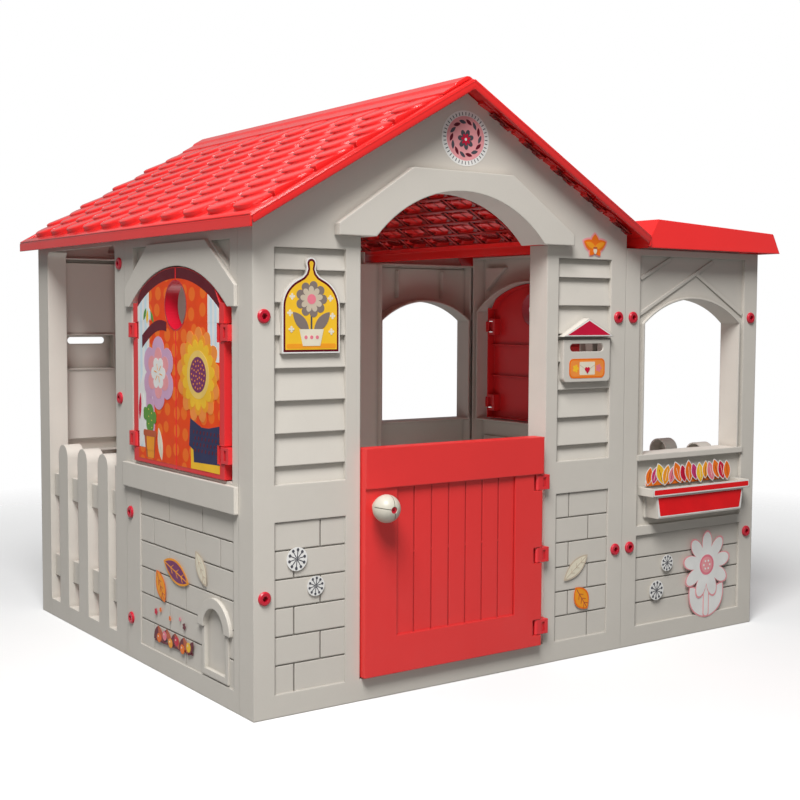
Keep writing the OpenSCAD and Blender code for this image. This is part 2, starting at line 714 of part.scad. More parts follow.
// leaf on the side s of the window centre line, outer face towards -y
module shutter(s) {
  gap = 2.5;
  y0 = shutter_y;
  ht = shutter_t;
  color(door_color) translate([win_x, 0, 0]) mirror([s > 0 ? 0 : 1, 0, 0]) {
    difference() {
      union() {
        difference() {
          upright(y0, ht) leaf_2d(gap, 0);
          upright(y0 + skin, ht) leaf_2d(gap, skin);
        }
        intersection() {
          upright(y0, ht) leaf_2d(gap, 0);
          union() {
            for (z = shutter_hinge_z) translate([shutter_half - 56, y0, z - notch - 9]) cube([56, ht, 2 * notch + 18]);
            translate([0, 0, 815]) rotate([-90, 0, 0]) translate([0, 0, y0]) cylinder(r = peep_r + skin, h = ht);
            for (z = [600, 700]) translate([0, y0 + 1, z]) cube([shutter_half, 14, skin]);
          }
        }
      }
      translate([0, y0 - 1, 815]) rotate([-90, 0, 0]) cylinder(r = peep_r, h = ht + 2);
      for (z = shutter_hinge_z) translate([shutter_half, 0, 0]) hinge_notch(shutter_pin_y, z);
    }
    for (z = shutter_hinge_z) translate([shutter_half, 0, 0]) hinge_pin(shutter_pin_y, z);
  }
}

// right-hand leaf outline, inset by i; its upper outer corner is cut so that it clears the arch as it swings
module leaf_2d(gap, i) {
  difference() {
    leaf_arch_2d(gap, i);
    polygon([[178, 851 - i], [199, 820 - i], [250, 820 - i], [250, 920], [178, 920]]);
  }
}

module leaf_arch_2d(gap, i) {
  intersection() {
    arch_2d(shutter_half - gap - i, sill_z + gap + i, shutter_arch_z, shutter_rise - gap - i);
    translate([1.8 + i, 0]) square([shutter_half - 22.8 - 2 * i, 1200]);
  }
}

module shutter_hinges(s) {
  color(screw_color) for (z = shutter_hinge_z) translate([win_x + s * shutter_half, 0, z])
    mirror([s > 0 ? 0 : 1, 0, 0]) hinge_clip(shutter_pin_y, shutter_clip_y);
}

module seam_screws() {
  color(screw_color) {
    for (z = [601, 912]) translate([fence_len - 29, 0, z]) wall_screw();
    for (z = [94, 341]) translate([fence_len + 25, 0, z]) wall_screw();
  }
}

module at_window() { translate([fence_len, 0, 0]) children(); }

// ---------- nodes ----------

place() gable_wall();  // front_wall
place() rear_main() closed_gable_wall();  // rear_wall
place() front_annex() annex_wall();  // annex_front_wall
place() rear_annex() annex_wall();  // annex_rear_wall
place() left_side() at_window() window_wall();  // left_window_wall
place() left_side() fence_wall();  // left_fence_wall
place() right_side() at_window() window_wall();  // right_window_wall
place() right_side() fence_wall();  // right_fence_wall
place() splice_post();  // front_splice_post
place() translate([2 * main_w, house_d, 0]) rotate([0, 0, 180]) splice_post();  // rear_splice_post
place() roof_left();
place() roof_right();
place() ridge_cap();
place() annex_roof();
place() door();
place() knob_outer();
place() knob_inner();
place() knob_screw();
place() door_hinge(0);  // door_hinge_top
place() door_hinge(1);  // door_hinge_middle
place() door_hinge(2);  // door_hinge_bottom
place() left_side() at_window() shutter(1);  // left_shutter_front
place() left_side() at_window() shutter(-1);  // left_shutter_rear
place() right_side() at_window() shutter(-1);  // right_shutter_front
place() right_side() at_window() shutter(1);  // right_shutter_rear
place() left_side() at_window() shutter_hinges(1);  // left_hinges_front
place() left_side() at_window() shutter_hinges(-1);  // left_hinges_rear
place() right_side() at_window() shutter_hinges(-1);  // right_hinges_front
place() right_side() at_window() shutter_hinges(1);  // right_hinges_rear
place() gable_screws();  // front_wall_screws
place() rear_main() gable_screws();  // rear_wall_screws
place() front_annex() annex_screws();  // annex_front_screws
place() rear_annex() annex_screws();  // annex_rear_screws
place() left_side() seam_screws();  // left_seam_screws
place() right_side() seam_screws();  // right_seam_screws
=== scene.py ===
import json
import math
import random

import bpy
from mathutils import Matrix, Vector


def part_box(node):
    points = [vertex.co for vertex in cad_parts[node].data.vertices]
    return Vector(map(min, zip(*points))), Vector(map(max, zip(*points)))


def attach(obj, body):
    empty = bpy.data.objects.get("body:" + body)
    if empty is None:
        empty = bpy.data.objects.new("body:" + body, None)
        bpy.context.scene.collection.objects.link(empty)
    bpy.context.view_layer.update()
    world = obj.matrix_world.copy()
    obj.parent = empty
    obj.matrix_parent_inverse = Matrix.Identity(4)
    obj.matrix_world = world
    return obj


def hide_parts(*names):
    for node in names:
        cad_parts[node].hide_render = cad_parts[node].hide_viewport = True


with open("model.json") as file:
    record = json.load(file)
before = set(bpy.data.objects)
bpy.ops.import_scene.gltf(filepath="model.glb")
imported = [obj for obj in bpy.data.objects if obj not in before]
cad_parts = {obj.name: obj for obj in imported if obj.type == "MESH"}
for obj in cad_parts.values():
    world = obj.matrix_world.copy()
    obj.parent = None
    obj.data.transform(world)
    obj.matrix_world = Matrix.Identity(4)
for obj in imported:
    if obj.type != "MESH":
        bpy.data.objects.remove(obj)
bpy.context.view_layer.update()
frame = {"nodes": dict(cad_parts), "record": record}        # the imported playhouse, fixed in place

nodes = frame["nodes"]
bpy.ops.object.select_all(action="DESELECT")

house = {"hoodOut": 0.020, "cornerPost": 0.060}     # the hood stands proud; the side walls start past a post

# the house's own corner: outer corner of the front and left walls, on the floor
wallLow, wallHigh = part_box("front_wall")
origin = Vector((wallLow.x, wallLow.y + house["hoodOut"], 0))
mainWidth = wallHigh.x - wallLow.x
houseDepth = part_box("rear_wall")[1].y - house["hoodOut"] - origin.y
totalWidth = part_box("annex_front_wall")[1].x - origin.x
wallDepth = houseDepth - house["cornerPost"]


def facing(corner, across, outward):
    # a place on a wall: x runs across as seen from outside, y up, z out of the wall
    across, outward = Vector(across), Vector(outward)
    turn = Matrix((across, (0, 0, 1), outward)).transposed().to_4x4()
    return Matrix.Translation(origin + Vector(corner)) @ turn


walls = {
    "front": facing((0, 0, 0), (1, 0, 0), (0, -1, 0)),
    "rear": facing((mainWidth, houseDepth, 0), (-1, 0, 0), (0, 1, 0)),
    "annexFront": facing((mainWidth, 0, 0), (1, 0, 0), (0, -1, 0)),
    "annexRear": facing((totalWidth, houseDepth, 0), (-1, 0, 0), (0, 1, 0)),
    "left": facing((0, wallDepth, 0), (0, -1, 0), (-1, 0, 0)),
    "right": facing((totalWidth, house["cornerPost"], 0), (0, 1, 0), (1, 0, 0)),
}


# materials

class Value:
    # wraps a socket so that shader maths reads as plain sums
    def __init__(self, tree, socket):
        self.tree = tree
        self.socket = socket

    def sum(self, operation, first, second):
        node = self.tree.nodes.new("ShaderNodeMath")
        node.operation = operation
        for put, value in zip(node.inputs, (first, second)):
            if isinstance(value, Value):
                self.tree.links.new(value.socket, put)
            else:
                put.default_value = value
        return Value(self.tree, node.outputs[0])

    def __add__(self, other):
        return self.sum("ADD", self, other)

    def __sub__(self, other):
        return self.sum("SUBTRACT", self, other)

    def __mul__(self, other):
        return self.sum("MULTIPLY", self, other)

    def __rsub__(self, other):
        return self.sum("SUBTRACT", other, self)

    __radd__ = __add__
    __rmul__ = __mul__


class Finish:
    # one node material; make() adds any node, settings first and then its sockets
    def __init__(self, name, **fixed):
        self.material = bpy.data.materials.new(name)
        self.material.use_nodes = True
        self.tree = self.material.node_tree
        self.tree.nodes.clear()
        self.out = self.tree.nodes.new("ShaderNodeOutputMaterial")
        self.shader = self.tree.nodes.new("ShaderNodeBsdfPrincipled")
        self.tree.links.new(self.shader.outputs[0], self.out.inputs[0])
        self.place = self.make("TexCoord", {}, {}, "Object")
        for socket, value in fixed.items():
            self.shader.inputs[socket.replace("_", " ")].default_value = value

    def make(self, kind, settings, sockets, output=0):
        node = self.tree.nodes.new("ShaderNode" + kind)
        for name, value in settings.items():
            setattr(node, name, value)
        for name, value in sockets.items():
            self.plug(node.inputs[name], value)
        return Value(self.tree, node.outputs[output])

    def plug(self, put, value):
        if isinstance(value, Value):
            self.tree.links.new(value.socket, put)
        elif isinstance(value, tuple) and len(value) == 3 and put.type == "RGBA":
            put.default_value = (*value, 1)
        else:
            put.default_value = value

    def noise(self, scale, detail=2.0, rough=0.5, stretch=None):
        place = self.place
        if stretch:
            place = self.make("Mapping", {}, {"Vector": place, "Scale": stretch})
        sockets = {"Vector": place, "Scale": scale, "Detail": detail, "Roughness": rough}
        return self.make("TexNoise", {}, sockets, "Fac")

    def ramp(self, value, low, high, lowValue=0.0, highValue=1.0):
        return self.make("MapRange", {}, {"Value": value, "From Min": low, "From Max": high,
                                          "To Min": lowValue, "To Max": highValue})

    def mix(self, factor, first, second):
        node = self.tree.nodes.new("ShaderNodeMix")
        node.data_type = "RGBA"
        self.plug(node.inputs[0], factor)
        self.plug(node.inputs[6], first)
        self.plug(node.inputs[7], second)
        return Value(self.tree, node.outputs[2])

    def wear(self, **values):
        for socket, value in values.items():
            self.plug(self.shader.inputs[socket.replace("_", " ")], value)
        return self.material


def shade(colour, amount):
    return tuple(max(0.0, min(1.0, part * amount)) for part in colour)


# noise scales per metre, and what a plastic has unless its own row says otherwise
mould = {"drift": 2.3, "cloud": 19, "speck": 620, "streak": 55, "patch": 7, "gloss": 11, "grainScale": 1500,
         "rippleScale": 14, "shine": 0.5, "cornerReach": 0.014, "ripple": 0.0012, "grainDepth": 0.0002}


def mouldedPlastic(name, look):
    # textured mould surface: fine grain, slow colour drift, faint scuffs, softened edges, painted shade in
    # corners
    look = {**mould, **look}
    finish = Finish(name, IOR=1.5, Specular_IOR_Level=look["shine"])
    colour = look["colour"]
    drift = finish.noise(look["drift"], 3.0)
    cloud = finish.noise(look["cloud"], 4.0, 0.6)
    paint = finish.mix(finish.ramp(drift, 0.3, 0.7), shade(colour, 0.955), shade(colour, 1.03))
    paint = finish.mix(finish.ramp(cloud, 0.35, 0.75, 0, 0.35), paint, shade(colour, 0.93))
    speck = finish.noise(look["speck"], 1.0)
    paint = finish.mix(finish.ramp(speck, 0.62, 0.74, 0, 0.22), paint, shade(colour, 0.80))
    # painted shade: ambient occlusion darkens the colour in corners, creases and gaps between parts
    corner = finish.make("AmbientOcclusion", {"samples": 4, "inside": False, "only_local": True},
                         {"Distance": look["cornerReach"]}, "AO")
    paintedShade = finish.ramp(corner, 0.35, 0.95, look["paintedShade"], 0.0)
    paint = finish.mix(paintedShade, paint, look["paintedShadeColour"])
    streak = finish.noise(look["streak"], 3.0, 0.7, (1, 1, 14))
    patch = finish.noise(look["patch"], 2.0)
    scuff = finish.ramp(streak, 0.66, 0.74) * finish.ramp(patch, 0.50, 0.62)
    gloss = finish.noise(look["gloss"], 3.0)
    rough = finish.ramp(gloss, 0.3, 0.7, look["rough"] - 0.05, look["rough"] + 0.06) + scuff * 0.10
    grain = finish.noise(look["grainScale"], 2.0)
    ripple = finish.noise(look["rippleScale"], 2.0)
    soft = finish.make("Bevel", {"samples": 4}, {"Radius": look["edge"]})
    wave = finish.make("Bump", {}, {"Strength": 0.25, "Distance": look["ripple"], "Height": ripple,
                                    "Normal": soft})
    bump = finish.make("Bump", {}, {"Strength": look["grain"], "Distance": look["grainDepth"],
                                    "Height": grain - scuff * 0.5, "Normal": wave})
    return finish.wear(Base_Color=paint, Roughness=rough, Normal=bump)


# each row also sets the strength and colour of the painted shade in its corners
plastics = {
    "wall_plastic": {"colour": (0.655, 0.613, 0.548), "rough": 0.52, "grain": 0.35, "edge": 0.0032,
                     "paintedShade": 0.42, "paintedShadeColour": (0.22, 0.20, 0.17), "shine": 0.42, "ripple": 0.0016},
    "roof_plastic": {"colour": (0.860, 0.018, 0.017), "rough": 0.20, "grain": 0.08, "edge": 0.0035,
                     "paintedShade": 0.40, "paintedShadeColour": (0.28, 0.004, 0.006), "ripple": 0.0025},
    "door_plastic": {"colour": (0.800, 0.034, 0.032), "rough": 0.42, "grain": 0.22, "edge": 0.0030,
                     "paintedShade": 0.42, "paintedShadeColour": (0.34, 0.008, 0.010)},
    "shutter_plastic": {"colour": (0.760, 0.026, 0.030), "rough": 0.40, "grain": 0.20, "edge": 0.0026,
                        "paintedShade": 0.40, "paintedShadeColour": (0.30, 0.006, 0.010)},
    "hinge_plastic": {"colour": (0.740, 0.024, 0.030), "rough": 0.38, "grain": 0.15, "edge": 0.0016,
                      "paintedShade": 0.5, "paintedShadeColour": (0.20, 0.003, 0.008), "cornerReach": 0.006},
    "screw_plastic": {"colour": (0.560, 0.006, 0.026), "rough": 0.34, "grain": 0.12, "edge": 0.0014,
                      "paintedShade": 0.5, "paintedShadeColour": (0.16, 0.001, 0.008), "cornerReach": 0.006},
    "knob_plastic": {"colour": (0.600, 0.560, 0.470), "rough": 0.36, "grain": 0.12, "edge": 0.0012,
                     "paintedShade": 0.7, "paintedShadeColour": (0.20, 0.16, 0.12), "cornerReach": 0.005},
}
plasticOf = {name: mouldedPlastic(name.replace("_", "-"), look) for name, look in plastics.items()}

for row in frame["record"]["subparts"]:
    node = nodes[row["node"]]
    node.data.materials.clear()
    node.data.materials.append(plasticOf[row["material_slot"]])


# noise and screen scales per metre for the printed films
filmFinish = {"fade": 21, "screen": 900, "gloss": 33, "press": 60, "pressDepth": 0.0004, "shine": 0.14,
              "dotSpread": 0.35}


def printedFilm(name, colour):
    # sticker film: ink with a fine screen, slow fade and a soft sheen
    f = filmFinish
    finish = Finish("film-" + name, IOR=1.46, Specular_IOR_Level=f["shine"])
    fade = finish.ramp(finish.noise(f["fade"], 3.0), 0.3, 0.7)
    paint = finish.mix(fade, shade(colour, 0.93), shade(colour, 1.05))
    sockets = {"Vector": finish.place, "Scale": f["screen"]}
    screen = finish.make("TexVoronoi", {}, sockets, "Distance")
    paint = finish.mix(finish.ramp(screen, 0.25, 0.55, 0.10, 0.0), paint, shade(colour, 0.75))
    if name in dots:
        sockets = {"Vector": finish.place, "Scale": dots[name]["scale"], "Randomness": f["dotSpread"]}
        cell = finish.make("TexVoronoi", {}, sockets, "Distance")
        paint = finish.mix(finish.ramp(cell, 0.33, 0.37, 0.85, 0.0), paint, dots[name]["colour"])
    rough = finish.ramp(finish.noise(f["gloss"], 2.0), 0.3, 0.7, 0.34, 0.46)
    press = finish.make("Bump", {}, {"Strength": 0.2, "Distance": f["pressDepth"],
                                     "Height": finish.noise(f["press"], 2.0)})
    return finish.wear(Base_Color=paint, Roughness=rough, Normal=press)


dots = {"orangeDots": {"scale": 24, "colour": (0.93, 0.19, 0.018)}}
inks = {
    "white": (0.86, 0.85, 0.82),
    "cream": (0.83, 0.76, 0.60),
    "sand": (0.62, 0.52, 0.40),
    "yellow": (0.95, 0.56, 0.035),
    "lemon": (0.93, 0.68, 0.12),
    "orange": (0.90, 0.190, 0.016),
    "amber": (0.93, 0.36, 0.026),
    "orangeDots": (0.88, 0.072, 0.008),
    "wine": (0.115, 0.006, 0.014),
    "lilac": (0.66, 0.40, 0.58),
    "peach": (0.93, 0.30, 0.060),
    "straw": (0.90, 0.62, 0.16),
    "crimson": (0.62, 0.012, 0.050),
    "scarlet": (0.88, 0.014, 0.018),
    "maroon": (0.13, 0.010, 0.022),
    "plum": (0.20, 0.035, 0.13),
    "magenta": (0.62, 0.045, 0.19),
    "pink": (0.86, 0.36, 0.38),
    "rose": (0.83, 0.22, 0.28),
    "navy": (0.030, 0.035, 0.095),
    "sky": (0.66, 0.80, 0.87),
    "green": (0.12, 0.30, 0.050),
    "brick": (0.52, 0.11, 0.045),
    "slate": (0.085, 0.085, 0.10),
    "taupe": (0.24, 0.19, 0.17),
}
inkOf = {name: printedFilm(name, colour) for name, colour in inks.items()}


# outlines, each a list of points across and up a wall

def around(count, turn=0.0):
    return [math.tau * k / count + turn for k in range(count)]


def spot(x, y, reach, angle):
    return x + reach * math.cos(angle), y + reach * math.sin(angle)


def oval(x, y, across, up, steps=64):
    return [(x + across * math.cos(angle), y + up * math.sin(angle)) for angle in around(steps)]


def disc(x, y, radius, steps=48):
    return oval(x, y, radius, radius, steps)


def bloom(x, y, inner, outer, petals, turn=0.0, sharp=0.6):
    points = []
    for angle in around(petals * 12):
        reach = inner + (outer - inner) * abs(math.cos(petals * angle / 2)) ** sharp
        points.append(spot(x, y, reach, angle + turn))
    return points


def leaf(x, y, length, width, angle, steps=14):
    points = []
    for side in (1, -1):
        for k in range(steps):
            t = k / steps if side > 0 else 1 - k / steps
            along = length * (t - 0.5)
            out = side * width / 2 * math.sin(math.pi * t) ** 0.8
            points.append((x + along * math.cos(angle) - out * math.sin(angle),
                           y + along * math.sin(angle) + out * math.cos(angle)))
    return points


def bar(x, y, length, width, angle):
    c, s = math.cos(angle), math.sin(angle)
    corners = ((-1, -1), (1, -1), (1, 1), (-1, 1))
    ends = [(a * length / 2, b * width / 2) for a, b in corners]
    return [(x + a * c - b * s, y + a * s + b * c) for a, b in ends]


def roundedBox(x0, y0, x1, y1, radius, steps=6):
    points = []
    for cx, cy, start in ((x1 - radius, y0 + radius, -90), (x1 - radius, y1 - radius, 0),
                          (x0 + radius, y1 - radius, 90), (x0 + radius, y0 + radius, 180)):
        for k in range(steps + 1):
            angle = math.radians(start + 90 * k / steps)
            points.append(spot(cx, cy, radius, angle))
    return points


def panel(middle, half, low, high, radius):
    return roundedBox(middle - half, low, middle + half, high, radius)


def evenOutline(middle, half):
    # both halves from the right one, which is listed from the foot up
    left = [(middle - x, y) for x, y in reversed(half) if x > 0.000001]
    return [(middle + x, y) for x, y in half] + left


def drawn(rows):
    # layers from rows that give a shape, its ink and the shape's own numbers
    return [(ink, shape(*numbers)) for shape, ink, *numbers in rows]


# making solid pieces

def deselect():
    bpy.ops.object.select_all(action="DESELECT")


def pick(parts):
    # selects these and nothing else
    deselect()
    for part in parts:
        part.select_set(True)
    bpy.context.view_layer.objects.active = parts[0]


def openMesh(action="SELECT"):
    bpy.ops.object.mode_set(mode="EDIT")
    bpy.ops.mesh.select_all(action=action)


def closeMesh():
    bpy.ops.object.mode_set(mode="OBJECT")


def joined(parts, name):
    pick(parts)
    bpy.ops.object.join()
    whole = bpy.context.object
    whole.name = name
    whole.data.name = name
    return whole


def copyOf(source, place):
    twin = source.copy()
    twin.data = source.data.copy()
    bpy.context.collection.objects.link(twin)
    twin.data.transform(place)
    return twin


def box(name, low, high):
    deselect()
    bpy.ops.mesh.primitive_cube_add(size=1)
    block = bpy.context.object
    block.name = name
    for vertex in block.data.vertices:
        vertex.co = [high[k] if vertex.co[k] > 0 else low[k] for k in range(3)]
    return block


def trim(piece, axis, cuts, fill):
    # cuts square to x or y; each keeps the side that its direction points to
    pick([piece])
    for at, keep in cuts:
        place = [at if k == axis else 0 for k in range(3)]
        normal = [keep if k == axis else 0 for k in range(3)]
        openMesh()
        bpy.ops.mesh.bisect(plane_co=place, plane_no=normal, use_fill=fill, clear_inner=True)
        closeMesh()


def flatShape(points, lift, thick, place):
    # a thin plate cut to an outline
    deselect()
    bpy.ops.mesh.primitive_circle_add(vertices=len(points), radius=0.01, fill_type="NGON")
    plate = bpy.context.object
    for vertex, (x, y) in zip(plate.data.vertices, points):
        vertex.co = (x, y, lift)
    openMesh()
    bpy.ops.mesh.extrude_region_move(TRANSFORM_OT_translate={"value": (0, 0, thick)})
    bpy.ops.mesh.select_all(action="SELECT")
    bpy.ops.mesh.normals_make_consistent(inside=False)
    closeMesh()
    plate.data.transform(place)
    return plate


film = {"lift": 0.0002, "step": 0.00018, "thick": 0.00030}


def extent(points):
    xs, ys = zip(*points)
    return min(xs), max(xs), min(ys), max(ys)


def levels(layers):
    # each plate stands one step above the highest one it could lie on
    found = []
    for ink, points in layers:
        x0, x1, y0, y1 = extent(points)
        under = [level for level, (a0, a1, b0, b1) in found if a0 < x1 and x0 < a1 and b0 < y1 and y0 < b1]
        found.append((max(under) + 1 if under else 0, (x0, x1, y0, y1)))
    return [level for level, spread in found]


def sticker(name, layers, place, body, base=0.0):
    # layers from the bottom up, each (ink, outline)
    plates = []
    for level, (ink, points) in zip(levels(layers), layers):
        plate = flatShape(points, base + film["lift"] + film["step"] * level, film["thick"], place)
        plate.data.materials.append(inkOf[ink])
        plates.append(plate)
    whole = joined(plates, name)
    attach(whole, body)


def wallSticker(name, layers, side, proud=0.0):
    sticker(name, layers, walls[side], "house", base=proud)


# white discs with dark spokes that end in dots, in parts of the disc's radius
spokeDisc = {"count": 10, "turn": 0.2, "at": 0.42, "length": 0.60, "width": 0.075, "dotAcross": 0.74,
             "dotUp": 0.78, "dot": 0.13, "hub": 0.09}


def spokes(x, y, radius):
    d = spokeDisc
    layers = [("white", disc(x, y, radius, 36))]
    for angle in around(d["count"], d["turn"]):
        c, s = radius * math.cos(angle), radius * math.sin(angle)
        layers.append(("slate", bar(x + c * d["at"], y + s * d["at"], radius * d["length"],
                                    radius * d["width"], angle)))
        layers.append(("slate", disc(x + c * d["dotAcross"], y + s * d["dotUp"], radius * d["dot"], 10)))
    layers.append(("slate", disc(x, y, radius * d["hub"], 10)))
    return layers


# cut leaves with a border and veins, in parts of the leaf's length and width
cutLeaf = {"fieldLength": 0.88, "fieldWidth": 0.80, "ribLength": 0.86, "ribWidth": 0.05, "veinGap": 0.2,
           "veinLean": 0.75, "veinOut": 0.14, "veinLength": 0.30, "veinWidth": 0.035}


def edgedLeaf(x, y, length, width, angle, edge, field, vein):
    n = cutLeaf
    layers = [(edge, leaf(x, y, length, width, angle)),
              (field, leaf(x, y, length * n["fieldLength"], width * n["fieldWidth"], angle)),
              (vein, bar(x, y, length * n["ribLength"], width * n["ribWidth"], angle))]
    for k in (-1, 0, 1):
        for side in (1, -1):
            lean = angle + side * n["veinLean"]
            middle = spot(*spot(x, y, k * length * n["veinGap"], angle), width * n["veinOut"], lean)
            layers.append((vein, bar(*middle, width * n["veinLength"], width * n["veinWidth"], lean)))
    return layers


badge = {"x": 0.5145, "y": 1.1720, "across": 0.0635, "up": 0.0585, "field": 0.80, "ticks": 40,
         "tickAt": 0.885, "tickLength": 0.11, "tickWidth": 0.030, "leaves": 14, "leafAt": 0.60,
         "leafLength": 0.30, "leafWidth": 0.12, "leafLean": 1.15, "drop": 0.04,
         "petals": (("slate", 0.17, 0.34), ("crimson", 0.08, 0.20)), "eye": 0.05}


def gableBadge():
    # pink disc in a white ticked rim, a garland of dark leaves round one open bloom
    b = badge
    x, y, across, up = b["x"], b["y"], b["across"], b["up"]
    layers = [("white", oval(x, y, across, up)), ("pink", oval(x, y, across * b["field"], up * b["field"]))]
    for angle in around(b["ticks"]):
        c, s = across * math.cos(angle), up * math.sin(angle)
        layers.append(("slate", bar(x + c * b["tickAt"], y + s * b["tickAt"], across * b["tickLength"],
                                    across * b["tickWidth"], math.atan2(s, c))))
    for k, angle in enumerate(around(b["leaves"])):
        c, s = across * math.cos(angle), up * math.sin(angle)
        layers.append(("maroon" if k % 2 else "slate",
                       leaf(x + c * b["leafAt"], y + s * b["leafAt"], across * b["leafLength"],
                            across * b["leafWidth"], angle + b["leafLean"])))
    middle = y - up * b["drop"]
    for ink, inner, outer in b["petals"]:
        layers.append((ink, bloom(x, middle, across * inner, across * outer, 7, 0.3, 0.7)))
    layers.append(("white", disc(x, middle, across * b["eye"], 14)))
    return layers


# plaque: yellow bell with a potted bloom; each neck row is out, up and how much an inset moves them
plaque = {
    "proud": 0.0020, "middle": 0.130, "foot": 0.720, "half": 0.067, "spring": 0.811, "rise": 0.0623,
    "neck": ((0.0205, 0.8715, 0.8, 0.7), (0.0140, 0.8780, 1, 0.4), (0.0105, 0.8860, 1, 0)),
    "knobUp": 0.897, "knob": 0.0125, "insets": (("white", 0.0008), ("wine", 0.0034), ("yellow", 0.0078)),
    "art": ((panel, "amber", 0.130, 0.057, 0.730, 0.7395, 0.004),
            (bar, "slate", 0.130, 0.778, 0.060, 0.004, math.pi / 2),
            (bloom, "taupe", 0.130, 0.827, 0.027, 0.036, 9),
            (bloom, "sand", 0.130, 0.827, 0.016, 0.026, 9, 0.2),
            (disc, "rose", 0.130, 0.827, 0.010, 24),
            (leaf, "taupe", 0.154, 0.782, 0.054, 0.022, math.pi / 2 - 0.75),
            (leaf, "taupe", 0.106, 0.782, 0.054, 0.022, math.pi / 2 + 0.75),
            (evenOutline, "cream", 0.130, ((0.020, 0.735), (0.028, 0.768))),
            (disc, "rose", 0.117, 0.752, 0.0038, 12), (disc, "rose", 0.130, 0.752, 0.0038, 12),
            (disc, "rose", 0.143, 0.752, 0.0038, 12)),
    "stars": ((0.086, 0.832), (0.174, 0.829), (0.081, 0.800), (0.179, 0.794), (0.084, 0.768), (0.176, 0.763)),
    "starInner": 0.0018, "starOuter": 0.0065,
}


def bell(inset):
    # an arch with a short neck and a round knob
    p = plaque
    half = [(p["half"] - inset, p["foot"] + inset)]
    half += [((p["half"] - inset) * math.cos(math.radians(a)),
              p["spring"] + (p["rise"] - inset) * math.sin(math.radians(a)))
             for a in range(0, 67, 6)]
    half += [(x - inset * inward, y - inset * down) for x, y, inward, down in p["neck"]]
    knob = p["knob"] - inset
    half += [spot(0, p["knobUp"], knob, math.radians(a)) for a in range(-20, 91, 10)]
    return evenOutline(p["middle"], half)


def plaqueArt():
    layers = [(ink, bell(inset)) for ink, inset in plaque["insets"]] + drawn(plaque["art"])
    for x, y in plaque["stars"]:
        layers.append(("cream", bloom(x, y, plaque["starInner"], plaque["starOuter"], 4)))
    return layers


# letterbox: a note with a heart on the flap, and a red gable above the slot
letterbox = {
    "noteProud": 0.008, "gableProud": 0.014,
    "note": ((panel, "orange", 0.870, 0.056, 0.6535, 0.6985, 0.012),
             (panel, "peach", 0.870, 0.052, 0.6575, 0.6945, 0.009),
             (panel, "cream", 0.870, 0.024, 0.6610, 0.6910, 0.002),
             (bar, "sand", 0.858, 0.6775, 0.0272, 0.0011, -0.52),
             (bar, "sand", 0.882, 0.6775, 0.0272, 0.0011, 0.52),
             (disc, "crimson", 0.8736, 0.6745, 0.0044, 14), (disc, "crimson", 0.8664, 0.6745, 0.0044, 14),
             (evenOutline, "crimson", 0.870, ((0, 0.6640), (0.0073, 0.6725))),
             (bloom, "yellow", 0.834, 0.676, 0.004, 0.0095, 5),
             (bloom, "rose", 0.906, 0.676, 0.004, 0.0095, 5)),
    "gable": ((evenOutline, "white", 0.870, ((0.075, 0.7505), (0, 0.7885))),
              (evenOutline, "crimson", 0.870, ((0.067, 0.7525), (0, 0.7855)))),
}

# small oak sprig with a pale cut edge; each leaf is across, up, length, width, lean
oak = {
    "x": 0.896, "y": 0.957, "edge": 1.22, "edgeWidth": 1.34,
    "leaves": ((-0.0135, 0.002, 0.046, 0.025, 2.75), (0.0135, 0.002, 0.046, 0.025, 0.39),
               (0, 0.008, 0.040, 0.026, math.pi / 2), (-0.008, -0.011, 0.026, 0.016, 0.9),
               (0.008, -0.011, 0.026, 0.016, 2.24)),
    "inner": ((leaf, "amber", 0.8825, 0.959, 0.034, 0.013, 2.75),
              (leaf, "amber", 0.9095, 0.959, 0.034, 0.013, 0.39),
              (leaf, "cream", 0.896, 0.947, 0.017, 0.011, math.pi / 2),
              (panel, "brick", 0.896, 0.0062, 0.9510, 0.9555, 0.002)),
}


def sprig():
    layers = []
    for ink, grow, growWidth in (("pink", oak["edge"], oak["edgeWidth"]), ("orange", 1, 1)):
        for across, up, length, width, lean in oak["leaves"]:
            outline = leaf(oak["x"] + across, oak["y"] + up, length * grow, width * growWidth, lean)
            layers.append((ink, outline))
    return layers + drawn(oak["inner"])


# tall white daisy with a pink outline
daisy = {
    "x": 0.300, "y": 0.170, "seeds": 6, "seedRing": 0.011, "seed": 0.0028,
    "art": ((leaf, "pink", 0.270, 0.078, 0.105, 0.056, 2.2),
            (leaf, "white", 0.270, 0.078, 0.096, 0.048, 2.2),
            (leaf, "pink", 0.332, 0.078, 0.105, 0.056, 0.95),
            (leaf, "white", 0.332, 0.078, 0.096, 0.048, 0.95),
            (panel, "pink", 0.300, 0.011, 0.036, 0.170, 0.009),
            (panel, "white", 0.300, 0.008, 0.040, 0.170, 0.007),
            (bloom, "pink", 0.300, 0.170, 0.052, 0.088, 9, 0.17, 0.8),
            (bloom, "white", 0.300, 0.170, 0.046, 0.083, 9, 0.17, 0.8),
            (disc, "rose", 0.300, 0.170, 0.026, 32), (disc, "pink", 0.300, 0.170, 0.020, 32)),
}


def daisyStem():
    layers = drawn(daisy["art"])
    for angle in around(daisy["seeds"]):
        seed = spot(daisy["x"], daisy["y"], daisy["seedRing"], angle)
        layers.append(("white", disc(*seed, daisy["seed"], 10)))
    return layers


